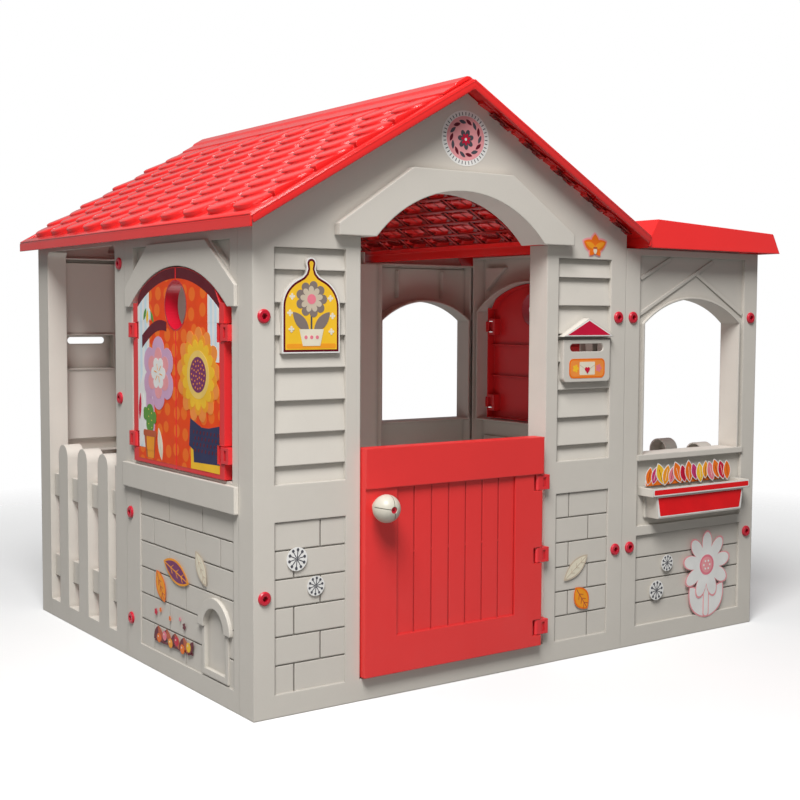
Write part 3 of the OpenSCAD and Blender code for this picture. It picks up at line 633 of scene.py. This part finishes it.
# a low twig of maroon leaves with berries, and small blossoms above it
hedge = {
    "twig": (0.750, 0.074, 0.190, 0.006, 0.03), "leaves": 9, "leafStart": 0.664, "leafPitch": 0.0215,
    "leafUp": 0.088, "leafLength": 0.044, "leafWidth": 0.018, "leafLean": 0.7, "berryStart": 0.676,
    "berryPitch": 0.030, "berryUp": 0.078, "berryStep": 0.010, "berry": 0.0105, "shineAt": 0.003,
    "shine": 0.0022, "berries": ("orange", "rose", "amber", "crimson", "orange", "yellow"),
    "blossoms": (("crimson", 0.660, 0.134, 0.008), ("orange", 0.684, 0.142, 0.006),
                 ("maroon", 0.802, 0.128, 0.008), ("rose", 0.782, 0.140, 0.005),
                 ("orange", 0.732, 0.132, 0.006)),
}


def berries():
    h = hedge
    layers = [("maroon", bar(*h["twig"]))]
    for k in range(h["leaves"]):
        lean = math.pi / 2 + (h["leafLean"] if k % 2 else -h["leafLean"])
        x = h["leafStart"] + k * h["leafPitch"]
        outline = leaf(x, h["leafUp"], h["leafLength"], h["leafWidth"], lean)
        layers.append(("brick" if k % 2 else "maroon", outline))
    for k, ink in enumerate(h["berries"]):
        x, y = h["berryStart"] + k * h["berryPitch"], h["berryUp"] + h["berryStep"] * (k % 2)
        layers.append((ink, disc(x, y, h["berry"], 20)))
        layers.append(("cream", disc(x - h["shineAt"], y + h["shineAt"], h["shine"], 10)))
    for ink, x, y, radius in h["blossoms"]:
        layers.append((ink, bloom(x, y, radius * 0.5, radius, 5)))
    return layers


for name, layers in (
        ("gable-badge", gableBadge()), ("oak-sprig", sprig()),
        ("spoke-disc-a", spokes(0.098, 0.313, 0.024)), ("spoke-disc-b", spokes(0.142, 0.254, 0.0205)),
        ("cream-leaf", edgedLeaf(0.851, 0.212, 0.092, 0.036, 0.63, "sand", "cream", "sand")),
        ("orange-leaf", edgedLeaf(0.870, 0.138, 0.066, 0.046, -0.95, "orange", "amber", "brick"))):
    wallSticker(name, layers, "front")
for side in ("front", "rear"):
    wallSticker("plaque-art-" + side, plaqueArt(), side, plaque["proud"])
    wallSticker("letterbox-label-" + side, drawn(letterbox["note"]), side, letterbox["noteProud"])
    wallSticker("letterbox-roof-label-" + side, drawn(letterbox["gable"]), side, letterbox["gableProud"])
for name, layers in (("spoke-disc-c", spokes(0.157, 0.190, 0.0205)),
                     ("spoke-disc-d", spokes(0.121, 0.126, 0.0245)), ("daisy", daisyStem())):
    wallSticker(name, layers, "annexFront")
for name, layers in (
        ("purple-leaf", edgedLeaf(wallDepth - 0.344, 0.240, 0.128, 0.050, -0.25, "amber", "plum", "amber")),
        ("pale-leaf", edgedLeaf(wallDepth - 0.225, 0.267, 0.084, 0.042, -0.95, "sand", "cream", "sand")),
        ("orange-leaf-left",
         edgedLeaf(wallDepth - 0.422, 0.196, 0.078, 0.046, -1.0, "orange", "amber", "brick")),
        ("berry-hedge", berries())):
    wallSticker(name, layers, "left")
print("wall stickers cut")


# planter: red printed field and rim, and cut leaves standing along the top of the window box

planter = {
    "fieldProud": 0.0341, "rimProud": 0.040,
    "field": ((evenOutline, "white", 0.236, ((0.149, 0.3125), (0.1555, 0.3630))),
              (evenOutline, "scarlet", 0.236, ((0.140, 0.3155), (0.143, 0.3170), (0.151, 0.3600)))),
    "rim": ((panel, "white", 0.236, 0.173, 0.3655, 0.3832, 0.004),
            (panel, "scarlet", 0.236, 0.170, 0.3683, 0.3804, 0.003)),
    "bed": ((panel, "white", 0.226, 0.152, 0.3855, 0.402, 0.004),
            (panel, "orange", 0.226, 0.149, 0.3855, 0.398, 0.004)),
    "inks": ("orange", "magenta", "yellow", "amber", "rose", "orange", "crimson"), "leaves": 15,
    "start": 0.088, "pitch": 0.0196, "lean": 0.45, "smallest": 0.040, "largest": 0.056, "up": 0.4105,
    "scatter": 0.004, "backLength": 1.12, "backWidth": 0.60, "width": 0.50, "ribUp": 0.409,
    "ribLength": 0.6, "rib": 0.0013, "seed": 4,
}


def leafRow():
    p = planter
    order = random.Random(p["seed"])
    layers = drawn(p["bed"])
    for k in range(p["leaves"]):
        x = p["start"] + k * p["pitch"]
        lean = math.pi / 2 + order.uniform(-p["lean"], p["lean"])
        size = order.uniform(p["smallest"], p["largest"])
        y = p["up"] + order.uniform(-p["scatter"], p["scatter"])
        layers.append(("white", leaf(x, y, size * p["backLength"], size * p["backWidth"], lean)))
        layers.append((p["inks"][k % len(p["inks"])], leaf(x, y, size, size * p["width"], lean)))
        rib = bar(x, p["ribUp"], size * p["ribLength"], p["rib"], lean)
        layers.append(("cream" if k % 2 else "maroon", rib))
    return layers


for side, tag in (("annexFront", "front"), ("annexRear", "rear")):
    wallSticker("planter-art-" + tag, drawn(planter["field"]), side, planter["fieldProud"])
    wallSticker("planter-rim-band-" + tag, drawn(planter["rim"]), side, planter["rimProud"])
    wallSticker("leaf-row-" + tag, leafRow(), side)
print("planters dressed")


# shutters: printed scene on each leaf and a sleeve in the round hole; x runs out from the seam

shutterArt = {"centre": 0.783, "proud": 0.0060, "half": 0.2375, "sill": 0.4655, "spring": 0.808,
              "rise": 0.0875, "edge": 0.2172, "hole": 0.815, "holeRadius": 0.052, "holeEdge": 0.0022,
              "leftBorder": 0.024, "rightBorder": 0.018, "bottomBorder": 0.009, "archBorder": 0.024,
              "seam": 0.0030, "steps": 18, "cornerFrom": 0.165, "cornerStart": 0.178, "cornerEnd": 0.199,
              "cornerUp": 0.851, "cornerFall": 1.476, "cornerInset": 0.3, "clear": 0.0015, "notch": 0.1885,
              "bands": (0.4, 0.4955, 0.5345, 0.7405, 0.7795, 1.0)}


def archHeight(x, inset=0.0):
    s = shutterArt
    half, rise = s["half"], s["rise"]
    radius = (half * half + rise * rise) / (2 * rise)
    centre = s["spring"] + rise - radius
    reach = radius - inset
    arch = centre + math.sqrt(max(reach * reach - x * x, 0))
    # the leaf's upper outer corner is cut off so that it clears the wall as it swings
    fall = s["cornerFall"] * (min(x, s["cornerEnd"]) - s["cornerStart"])
    corner = s["cornerUp"] - fall - s["clear"] - inset * s["cornerInset"]
    return min(arch, corner) if x > s["cornerFrom"] else arch


def leafField(x0, x1, low=None):
    # the printable part of a leaf between two distances from the seam, under the arch and round the hole
    s = shutterArt
    low = s["sill"] + s["bottomBorder"] if low is None else low
    points = [(x0, low), (x1, low)]
    for k in range(s["steps"] + 1):
        x = x1 + (x0 - x1) * k / s["steps"]
        points.append((x, archHeight(x, s["archBorder"])))
    radius = s["holeRadius"] + s["holeEdge"]
    if x0 < radius:
        top = math.asin(min(1, x0 / radius))
        for k in range(17):
            angle = top + (math.pi - 2 * top) * k / 16
            points.append((radius * math.sin(angle), s["hole"] + radius * math.cos(angle)))
    return points


def clipped(points, axis, limit, side):
    # the part of an outline on one side of a line; side 1 keeps what is above the limit
    kept = []
    for k, here in enumerate(points):
        before = points[k - 1]
        inside, wasInside = (here[axis] - limit) * side >= 0, (before[axis] - limit) * side >= 0
        if inside != wasInside:
            t = (limit - before[axis]) / (here[axis] - before[axis])
            kept.append(tuple(before[i] + t * (here[i] - before[i]) for i in range(2)))
        if inside:
            kept.append(here)
    return kept


def notched(layers, x1):
    # printed layers trimmed to the leaf's edge and cut out round the hinge clips
    s = shutterArt
    trimmed = []
    for ink, points in layers:
        for k, (low, high) in enumerate(zip(s["bands"], s["bands"][1:])):
            part = points
            for axis, limit, side in ((1, low, 1), (1, high, -1), (0, s["notch"] if k % 2 else x1, -1)):
                part = clipped(part, axis, limit, side) if part else part
            if len(part) >= 3 and extent(part)[1] - extent(part)[0] > 0.0004:
                trimmed.append((ink, part))
    return trimmed


def archBandAndShadow(x1):
    # dark band between the field and the arch: partly a printed band, partly painted shadow of the hood on
    # the leaf's border
    s = shutterArt
    spots = [s["seam"] + (x1 - s["seam"]) * k / s["steps"] for k in range(s["steps"] + 1)]
    return ([(x, archHeight(x, s["archBorder"] + 0.001)) for x in spots]
            + [(x, archHeight(x, s["clear"])) for x in reversed(spots)])


def stripes(x1, count, wide, low):
    layers = []
    for k in range(count):
        inner, outer = x1 - wide * (count - k), x1 - wide * (count - 1 - k)
        layers.append(("sky" if k % 2 else "white", leafField(inner, outer, low)))
    return layers


# a very large orange bloom with a yellow heart, over a knitted pot cover
sunflower = {
    "x": 0.106, "y": 0.672, "stripes": (5, 0.010, 0.700), "shelf": (0.070, 0.4755, 0.560, 0.001),
    "cover": ((0.150, 0.564), (0.120, 0.564), (0.068, 0.580), (0.062, 0.523), (0.082, 0.515),
              (0.084, 0.4895)),
    "coverEdge": (0.4930, 0.5720), "rows": 4, "stitches": 8, "stitchX": 0.084, "stitchY": 0.553,
    "stitchPitch": 0.0155, "rowPitch": 0.0125, "rowShift": 0.007, "stitch": (0.0075, 0.0042, 1.2),
    "petals": (("peach", 0.078, 0.099, 13, 0.1), ("amber", 0.064, 0.084, 13, 0.34),
               ("yellow", 0.060, 0.074, 15, 0.1)),
    "heart": (("straw", 0.050), ("plum", 0.037)), "seeds": ((0.029, 16), (0.019, 10), (0.009, 6)),
    "seed": 0.0021,
}


def sunflowerLeaf():
    s, f = shutterArt, sunflower
    x1 = s["edge"] - s["rightBorder"]
    # the first layer, along the arch, is partly printed and partly painted shadow of the hood
    layers = [("wine", archBandAndShadow(x1)), ("orangeDots", leafField(s["seam"], x1))] + stripes(x1, *f["stripes"])
    left, low, high, radius = f["shelf"]
    layers.append(("yellow", roundedBox(left, low, x1, high, radius)))
    layers.append(("navy", [(x1, f["coverEdge"][0]), (x1, f["coverEdge"][1]), *f["cover"]]))
    for row in range(f["rows"]):
        for k in range(f["stitches"]):
            x = f["stitchX"] + k * f["stitchPitch"] + (row % 2) * f["rowShift"]
            layers.append(("maroon", bar(x, f["stitchY"] - row * f["rowPitch"], *f["stitch"])))
    for ink, inner, outer, count, turn in f["petals"]:
        layers.append((ink, bloom(f["x"], f["y"], inner, outer, count, turn, 0.7)))
    for ink, radius in f["heart"]:
        layers.append((ink, disc(f["x"], f["y"], radius, 48)))
    for ring, count in f["seeds"]:
        for angle in around(count, ring * 40):
            layers.append(("amber", disc(*spot(f["x"], f["y"], ring, angle), f["seed"], 8)))
    return notched(layers, x1)


# lilac bloom with white leaves, a cactus in a pot and a plain maroon bough, drawn as for the right leaf
lilac = {
    "stripes": (5, 0.012, 0.500), "boughX": 0.045, "boughLength": 0.125, "boughY": 0.742, "boughRise": 0.040,
    "boughTurn": 0.62, "boughLift": 0.007, "boughThick": 0.020, "boughTaper": 0.008,
    "buds": ("green", "sky", "yellow", "green"),
    "plants": ((leaf, "white", 0.150, 0.610, 0.190, 0.074, 1.75),
               (leaf, "lilac", 0.128, 0.585, 0.120, 0.040, 1.30),
               (leaf, "white", 0.172, 0.560, 0.120, 0.030, 1.65),
               (leaf, "crimson", 0.183, 0.590, 0.060, 0.014, 1.65),
               (bloom, "lilac", 0.086, 0.668, 0.060, 0.080, 6, math.pi / 2, 0.7),
               (bloom, "pink", 0.086, 0.668, 0.036, 0.056, 6, math.pi / 2, 0.7),
               (bloom, "white", 0.086, 0.668, 0.026, 0.036, 6, math.pi / 2 + 0.52, 0.7)),
    "x": 0.086, "y": 0.668, "stamens": 6, "stamenTurn": 0.2, "stamenAt": 0.014, "stamen": (0.014, 0.0022),
    "cactus": ((roundedBox, "green", 0.112, 0.535, 0.150, 0.598, 0.018),
               (roundedBox, "green", 0.098, 0.556, 0.118, 0.582, 0.009),
               (roundedBox, "green", 0.144, 0.562, 0.164, 0.590, 0.009)),
    "spines": 6, "spine": 0.0016,
    "pot": ((evenOutline, "brick", 0.131, ((0.021, 0.479), (0.031, 0.532))),
            (evenOutline, "amber", 0.129, ((0.015, 0.479), (0.021, 0.530))),
            (roundedBox, "brick", 0.097, 0.526, 0.165, 0.540, 0.005),
            (leaf, "cream", 0.080, 0.513, 0.072, 0.024, 1.35),
            (bar, "sand", 0.080, 0.513, 0.058, 0.0016, 1.35)),
}


def lilacLeaf():
    s, b = shutterArt, lilac
    x1 = s["edge"] - s["leftBorder"]
    # the first layer, along the arch, is partly printed and partly painted shadow of the hood
    layers = [("wine", archBandAndShadow(x1)), ("orangeDots", leafField(s["seam"], x1))] + stripes(x1, *b["stripes"])
    upper, lower = [], []
    for k in range(13):
        t = k / 12
        x = b["boughX"] + b["boughLength"] * t
        y = b["boughY"] + b["boughRise"] * math.sin(math.pi * (1 - t) * b["boughTurn"]) + b["boughLift"] * t
        upper.append((x, y))
        lower.append((x, y - b["boughThick"] - b["boughTaper"] * t))
    layers.append(("maroon", upper + lower[::-1]))
    for k, ink in enumerate(b["buds"]):
        layers.append((ink, leaf(0.118 + k * 0.012, 0.790 + 0.006 * (k % 2), 0.030, 0.011, 1.0 + 0.35 * k)))
    layers += drawn(b["plants"])
    for angle in around(b["stamens"], b["stamenTurn"]):
        middle = spot(b["x"], b["y"], b["stamenAt"], angle)
        layers.append(("amber", bar(*middle, *b["stamen"], angle)))
    layers += drawn(b["cactus"])
    for k in range(b["spines"]):
        layers.append(("lemon", disc(0.122 + (k % 2) * 0.015, 0.546 + k * 0.008, b["spine"], 8)))
    return notched(layers + drawn(b["pot"]), x1)


sleeve = {"gap": 0.0030, "steps": 22, "inner": -0.0012, "lip": 0.0020, "wall": -0.0001, "lipAt": 0.0060,
          "lipThick": 0.0007, "back": -0.0235, "depth": 0.0300}


def holeSleeve(name, body, place, side):
    # half tube lining the round hole, with a thin lip on the face
    t, hole, radius = sleeve, shutterArt["hole"], shutterArt["holeRadius"]
    first = math.asin(t["gap"] / (radius + t["lip"]))
    arc = [first + (math.pi - 2 * first) * k / t["steps"] for k in range(t["steps"] + 1)]

    def halfRing(inner, outer):
        return ([(side * inner * math.sin(a), hole + inner * math.cos(a)) for a in arc]
                + [(side * outer * math.sin(a), hole + outer * math.cos(a)) for a in reversed(arc)])

    lip = flatShape(halfRing(radius + t["inner"], radius + t["lip"]), t["lipAt"], t["lipThick"], place)
    tube = flatShape(halfRing(radius + t["inner"], radius + t["wall"]), t["back"], t["depth"], place)
    whole = joined([lip, tube], name)
    whole.data.materials.append(plasticOf["screw_plastic"])
    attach(whole, body)


for wallName, rightLeaf, leftLeaf in (("left", "front", "rear"), ("right", "rear", "front")):
    place = walls[wallName] @ Matrix.Translation((shutterArt["centre"], 0, 0))
    flipped = [(ink, [(-x, y) for x, y in points][::-1]) for ink, points in lilacLeaf()]
    for leafName, layers in ((rightLeaf, sunflowerLeaf()), (leftLeaf, flipped)):
        sticker(f"shutter-print-{wallName}-{leafName}", layers, place, f"{wallName}_shutter_{leafName}",
                base=shutterArt["proud"])
    for leafName, side in ((rightLeaf, 1), (leftLeaf, -1)):
        holeSleeve(f"hole-sleeve-{wallName}-{leafName}", f"{wallName}_shutter_{leafName}", place, side)
print("shutters printed")


# roof halves: thin panel, lapped round-ended tiles above, hollows of the same tiles below

roof = {"pitch": math.radians(29.8), "ridge": 1.286, "pastRidge": 0.02, "eaveOver": 0.032, "rakeOver": 0.050,
        "rows": 9, "columns": 11, "firstRow": 0.034, "lastRow": 0.096, "lap": 0.008, "edge": 0.030,
        "spill": 0.004, "tileLength": 0.098, "tileRise": 0.0110, "tileGap": 0.0095, "endRadius": 0.044,
        "crown": ((0.0016, 0.0014), (0.0030, 0.0012), (0.0060, 0.0009)), "skin": 0.004, "rim": 0.0165,
        "rimWide": 0.0045, "border": 0.0225, "borderHigh": 0.0030, "eaveBorder": 0.020, "bandLow": 0.078,
        "bandHigh": 0.018, "inset": 0.001, "round": 0.0016, "pocket": 0.0080, "land": 0.0075,
        "pocketRound": 0.038, "pocketTaper": (0.88, 0.90, 1), "pocketFall": 0.45, "fascia": 0.021}


def oneTile(width):
    # round-ended slab, domed a little at its lower edge; x runs up the slope
    deselect()
    length, rise = roof["tileLength"], roof["tileRise"]
    bpy.ops.mesh.primitive_plane_add(size=1)
    tile = bpy.context.object
    for vertex in tile.data.vertices:
        vertex.co = (length / 2 + vertex.co.x * length, vertex.co.y * width, 0)
    openMesh("DESELECT")
    closeMesh()
    for vertex in tile.data.vertices:
        vertex.select = vertex.co.x < 0.001
    bpy.ops.object.mode_set(mode="EDIT")
    bpy.ops.mesh.select_mode(type="VERT")
    bpy.ops.mesh.bevel(offset=roof["endRadius"], segments=7, affect="VERTICES")
    bpy.ops.mesh.select_all(action="SELECT")
    bpy.ops.mesh.extrude_region_move(TRANSFORM_OT_translate={"value": (0, 0, rise)})
    for inward, lift in roof["crown"]:
        bpy.ops.mesh.inset(thickness=inward, depth=0.0)
        bpy.ops.transform.translate(value=(0, 0, lift))
    bpy.ops.mesh.select_all(action="SELECT")
    bpy.ops.mesh.normals_make_consistent(inside=False)
    closeMesh()
    tile.data.transform(Matrix.Rotation(math.atan(rise / length), 4, "Y"))
    return tile


def hollowCell(width, length):
    # underside of one tile: flat land with a round-ended pocket pushed up into it
    land, pocket = roof["land"], roof["pocket"]
    deselect()
    bpy.ops.mesh.primitive_plane_add(size=1)
    cell = bpy.context.object
    for vertex in cell.data.vertices:
        vertex.co = (vertex.co.x * length, vertex.co.y * width, 0)
    openMesh()
    bpy.ops.mesh.inset(thickness=land, depth=0.0)
    closeMesh()
    lowest = min(v.co.x for v in cell.data.vertices) + land + 0.0001
    for vertex in cell.data.vertices:
        vertex.select = abs(vertex.co.x - lowest) < 0.0005
    bpy.ops.object.mode_set(mode="EDIT")
    bpy.ops.mesh.select_mode(type="VERT")
    bpy.ops.mesh.bevel(offset=roof["pocketRound"], segments=7, affect="VERTICES")
    bpy.ops.mesh.select_mode(type="FACE")
    closeMesh()
    inner = min(cell.data.polygons,
                key=lambda face: face.center.length if face.area > length * width * 0.4 else 9)
    for face in cell.data.polygons:
        face.select = face == inner
    bpy.ops.object.mode_set(mode="EDIT")
    bpy.ops.mesh.extrude_region_move(TRANSFORM_OT_translate={"value": (0, 0, pocket)})
    bpy.ops.transform.resize(value=roof["pocketTaper"], center_override=(0, 0, pocket))
    closeMesh()
    # deeper at the lower end
    for vertex in cell.data.vertices:
        if vertex.co.z > 0.001:
            vertex.co.z = pocket * (1.0 - roof["pocketFall"] * (vertex.co.x + length / 2) / length)
    return cell


def laid(source, x, y, z, rowPitch, columnWidth):
    # copies in rows, every other row half a column over; the source goes
    copies = []
    for row in range(roof["rows"]):
        odd = row % 2
        for column in range(roof["columns"] + odd):
            place = (x + row * rowPitch, y + (column + 0.5 * (1 - odd)) * columnWidth, z)
            copies.append(copyOf(source, Matrix.Translation(place)))
    bpy.data.objects.remove(source)
    return copies


def roofHalf(name, nodeName, turned):
    r = roof
    half = mainWidth / 2
    slopeLength = (half + r["eaveOver"]) / math.cos(r["pitch"])
    yLow, yHigh = -r["rakeOver"], houseDepth + r["rakeOver"]
    tilesLow, tilesHigh = -slopeLength + r["firstRow"], -r["lastRow"]
    columnWidth = (yHigh - yLow - 2 * r["edge"]) / r["columns"]
    rowPitch = (tilesHigh - tilesLow) / r["rows"]
    tiles = laid(oneTile(columnWidth - r["tileGap"]), tilesLow - r["lap"], yLow + r["edge"], 0, rowPitch,
                 columnWidth)
    field = joined(tiles, name + "-tiles")
    # the half tiles that would stand over the rims are cut off
    inner = r["edge"] - r["spill"]
    trim(field, 1, ((yLow + inner, 1), (yHigh - inner, -1)), True)
    # panel, its two hanging rims, the raised border along both rakes and the eave, and the band under the cap
    start, ridge, under = -slopeLength, r["pastRidge"], -0.0005
    inset, wide, top = r["inset"], r["border"], r["borderHigh"]
    rims = [
        box("panel", (start, yLow, -r["skin"]), (ridge, yHigh, 0)),
        box("rimA", (start, yLow, -r["rim"]), (ridge, yLow + r["rimWide"], under)),
        box("rimB", (start, yHigh - r["rimWide"], -r["rim"]), (ridge, yHigh, under)),
        box("rimC", (start + inset, yLow + inset, -inset), (0, yLow + wide, top)),
        box("rimD", (start + inset, yHigh - wide, -inset), (0, yHigh - inset, top)),
        box("rimE", (start + inset, yLow + 0.02, -inset), (start + r["eaveBorder"], yHigh - 0.02, top)),
        box("rimF", (-r["bandLow"], yLow + wide, -inset), (-r["bandHigh"], yHigh - wide, top + 0.0002)),
    ]
    for rim in rims:
        bevel = rim.modifiers.new("round", "BEVEL")
        bevel.width = r["round"]
        bevel.segments = 2
        pick([rim])
        bpy.ops.object.modifier_apply(modifier=bevel.name)
    cells = laid(hollowCell(columnWidth, rowPitch), tilesLow + 0.5 * rowPitch, yLow + r["edge"],
                 -r["skin"] - r["pocket"] - 0.0007, rowPitch, columnWidth)
    below = joined(cells, name + "-hollows")
    trim(below, 1, ((yLow + r["edge"], 1), (yHigh - r["edge"], -1)), False)
    openMesh()
    bpy.ops.mesh.remove_doubles(threshold=0.0002)
    bpy.ops.mesh.flip_normals()
    closeMesh()
    whole = joined([field] + rims + [below], name)
    whole.data.transform(Matrix.Translation((half, 0, r["ridge"])) @ Matrix.Rotation(-r["pitch"], 4, "Y"))
    # cut plumb at the ridge and at the eave
    trim(whole, 0, ((half - 0.0003, -1), (-r["eaveOver"], 1)), True)
    eaveTop = r["ridge"] - math.tan(r["pitch"]) * (half + r["eaveOver"])
    fascia = box("fascia", (-r["eaveOver"], yLow, eaveTop - r["fascia"]),
                 (r["rimWide"] - r["eaveOver"], yHigh, eaveTop - 0.0003))
    whole = joined([whole, fascia], name)
    if turned:
        halfTurn = Matrix.Rotation(math.pi, 4, "Z")
        whole.data.transform(Matrix.Translation((mainWidth, houseDepth, 0)) @ halfTurn)
    whole.data.transform(Matrix.Translation(origin))
    whole.data.materials.clear()
    whole.data.materials.append(plasticOf["roof_plastic"])
    pick([whole])
    bpy.ops.object.shade_smooth_by_angle(angle=math.radians(28))
    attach(whole, "house")
    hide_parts(nodeName)


roofHalf("roof-panel-left", "roof_left", False)
roofHalf("roof-panel-right", "roof_right", True)
print("roof tiled")


# floor, light and camera

studio = {"floor": 14.0, "floorColour": (0.90, 0.90, 0.90), "fadeFrom": 1.2, "fadeTo": 3.0, "sky": 0.13,
          "gloss": 0.40, "backdrop": 1.0}
lamps = {
    "key": {"place": (-2.95, -3.3, 6.0), "target": (0, 0, 0.5), "size": 3.4, "power": 625},
    "bounce": {"place": (-1.7, -2.3, 0.15), "target": (0, 0, 0.25), "size": 1.8, "power": 11},
    "glow": {"place": (-0.15, -0.15, 0.03), "target": (-0.15, -0.1, 1.2), "size": 0.7, "power": 3},
}
view = {"lens": 57.75, "sensor": 36, "yaw": 0.6175, "pitch": -0.06637, "roll": 0.00475,
        "place": (-1.19469, -2.17088, 0.79728)}


def paleFloor():
    deselect()
    bpy.ops.mesh.primitive_grid_add(x_subdivisions=4, y_subdivisions=4, size=studio["floor"] * 2,
                                    location=(0, 0, -0.0005))
    floor = bpy.context.object
    floor.name = "studio-floor"
    finish = Finish("floor-paint", Roughness=0.65)
    tone = finish.ramp(finish.noise(1.5, 3.0), 0.3, 0.7)
    away = finish.make("VectorMath", {"operation": "LENGTH"}, {0: finish.place}, "Value")
    finish.wear(Base_Color=finish.mix(tone, shade(studio["floorColour"], 0.985), studio["floorColour"]),
                Alpha=finish.ramp(away, studio["fadeFrom"], studio["fadeTo"], 1.0, 0.0))
    floor.data.materials.append(finish.material)
    floor.visible_diffuse = False


def whiteTent():
    # white to look at, a little dimmer in reflections, and a quiet fill
    world = bpy.data.worlds.new("studio")
    bpy.context.scene.world = world
    world.use_nodes = True
    nodesHere, links = world.node_tree.nodes, world.node_tree.links
    backdrop = nodesHere["Background"]
    backdrop.inputs["Color"].default_value = (1.0, 1.0, 1.0, 1)
    rays = nodesHere.new("ShaderNodeLightPath")
    fill = nodesHere.new("ShaderNodeMapRange")
    fill.inputs["To Min"].default_value = studio["gloss"]
    fill.inputs["To Max"].default_value = studio["sky"]
    links.new(rays.outputs["Is Diffuse Ray"], fill.inputs["Value"])
    seen = nodesHere.new("ShaderNodeMapRange")
    seen.inputs["To Max"].default_value = studio["backdrop"]
    links.new(fill.outputs[0], seen.inputs["To Min"])
    links.new(rays.outputs["Is Camera Ray"], seen.inputs["Value"])
    links.new(seen.outputs[0], backdrop.inputs["Strength"])


def areaLight(name, lamp):
    light = bpy.data.lights.new(name, "AREA")
    light.shape = "DISK"
    light.size = lamp["size"]
    light.energy = lamp["power"]
    holder = bpy.data.objects.new(name, light)
    bpy.context.scene.collection.objects.link(holder)
    holder.visible_camera = False
    holder.location = lamp["place"]
    aim = Vector(lamp["target"]) - Vector(lamp["place"])
    holder.rotation_euler = aim.to_track_quat("-Z", "Y").to_euler()


def placeCamera():
    yaw, pitch, roll = view["yaw"], view["pitch"], view["roll"]
    lens = bpy.data.cameras.new("camera")
    lens.lens = view["lens"]
    lens.sensor_width = view["sensor"]
    camera = bpy.data.objects.new("camera", lens)
    bpy.context.scene.collection.objects.link(camera)
    forward = Vector((math.sin(yaw) * math.cos(pitch), math.cos(yaw) * math.cos(pitch), math.sin(pitch)))
    level = Vector((math.cos(yaw), -math.sin(yaw), 0))
    right = math.cos(roll) * level + math.sin(roll) * level.cross(forward)
    turn = Matrix((right, right.cross(forward), -forward)).transposed().to_4x4()
    camera.matrix_world = Matrix.Translation(origin + Vector(view["place"])) @ turn
    bpy.context.scene.camera = camera


paleFloor()
whiteTent()
for name, lamp in lamps.items():
    areaLight(name, lamp)
placeCamera()
bpy.context.scene.view_settings.view_transform = "Standard"

print("playhouse ready")
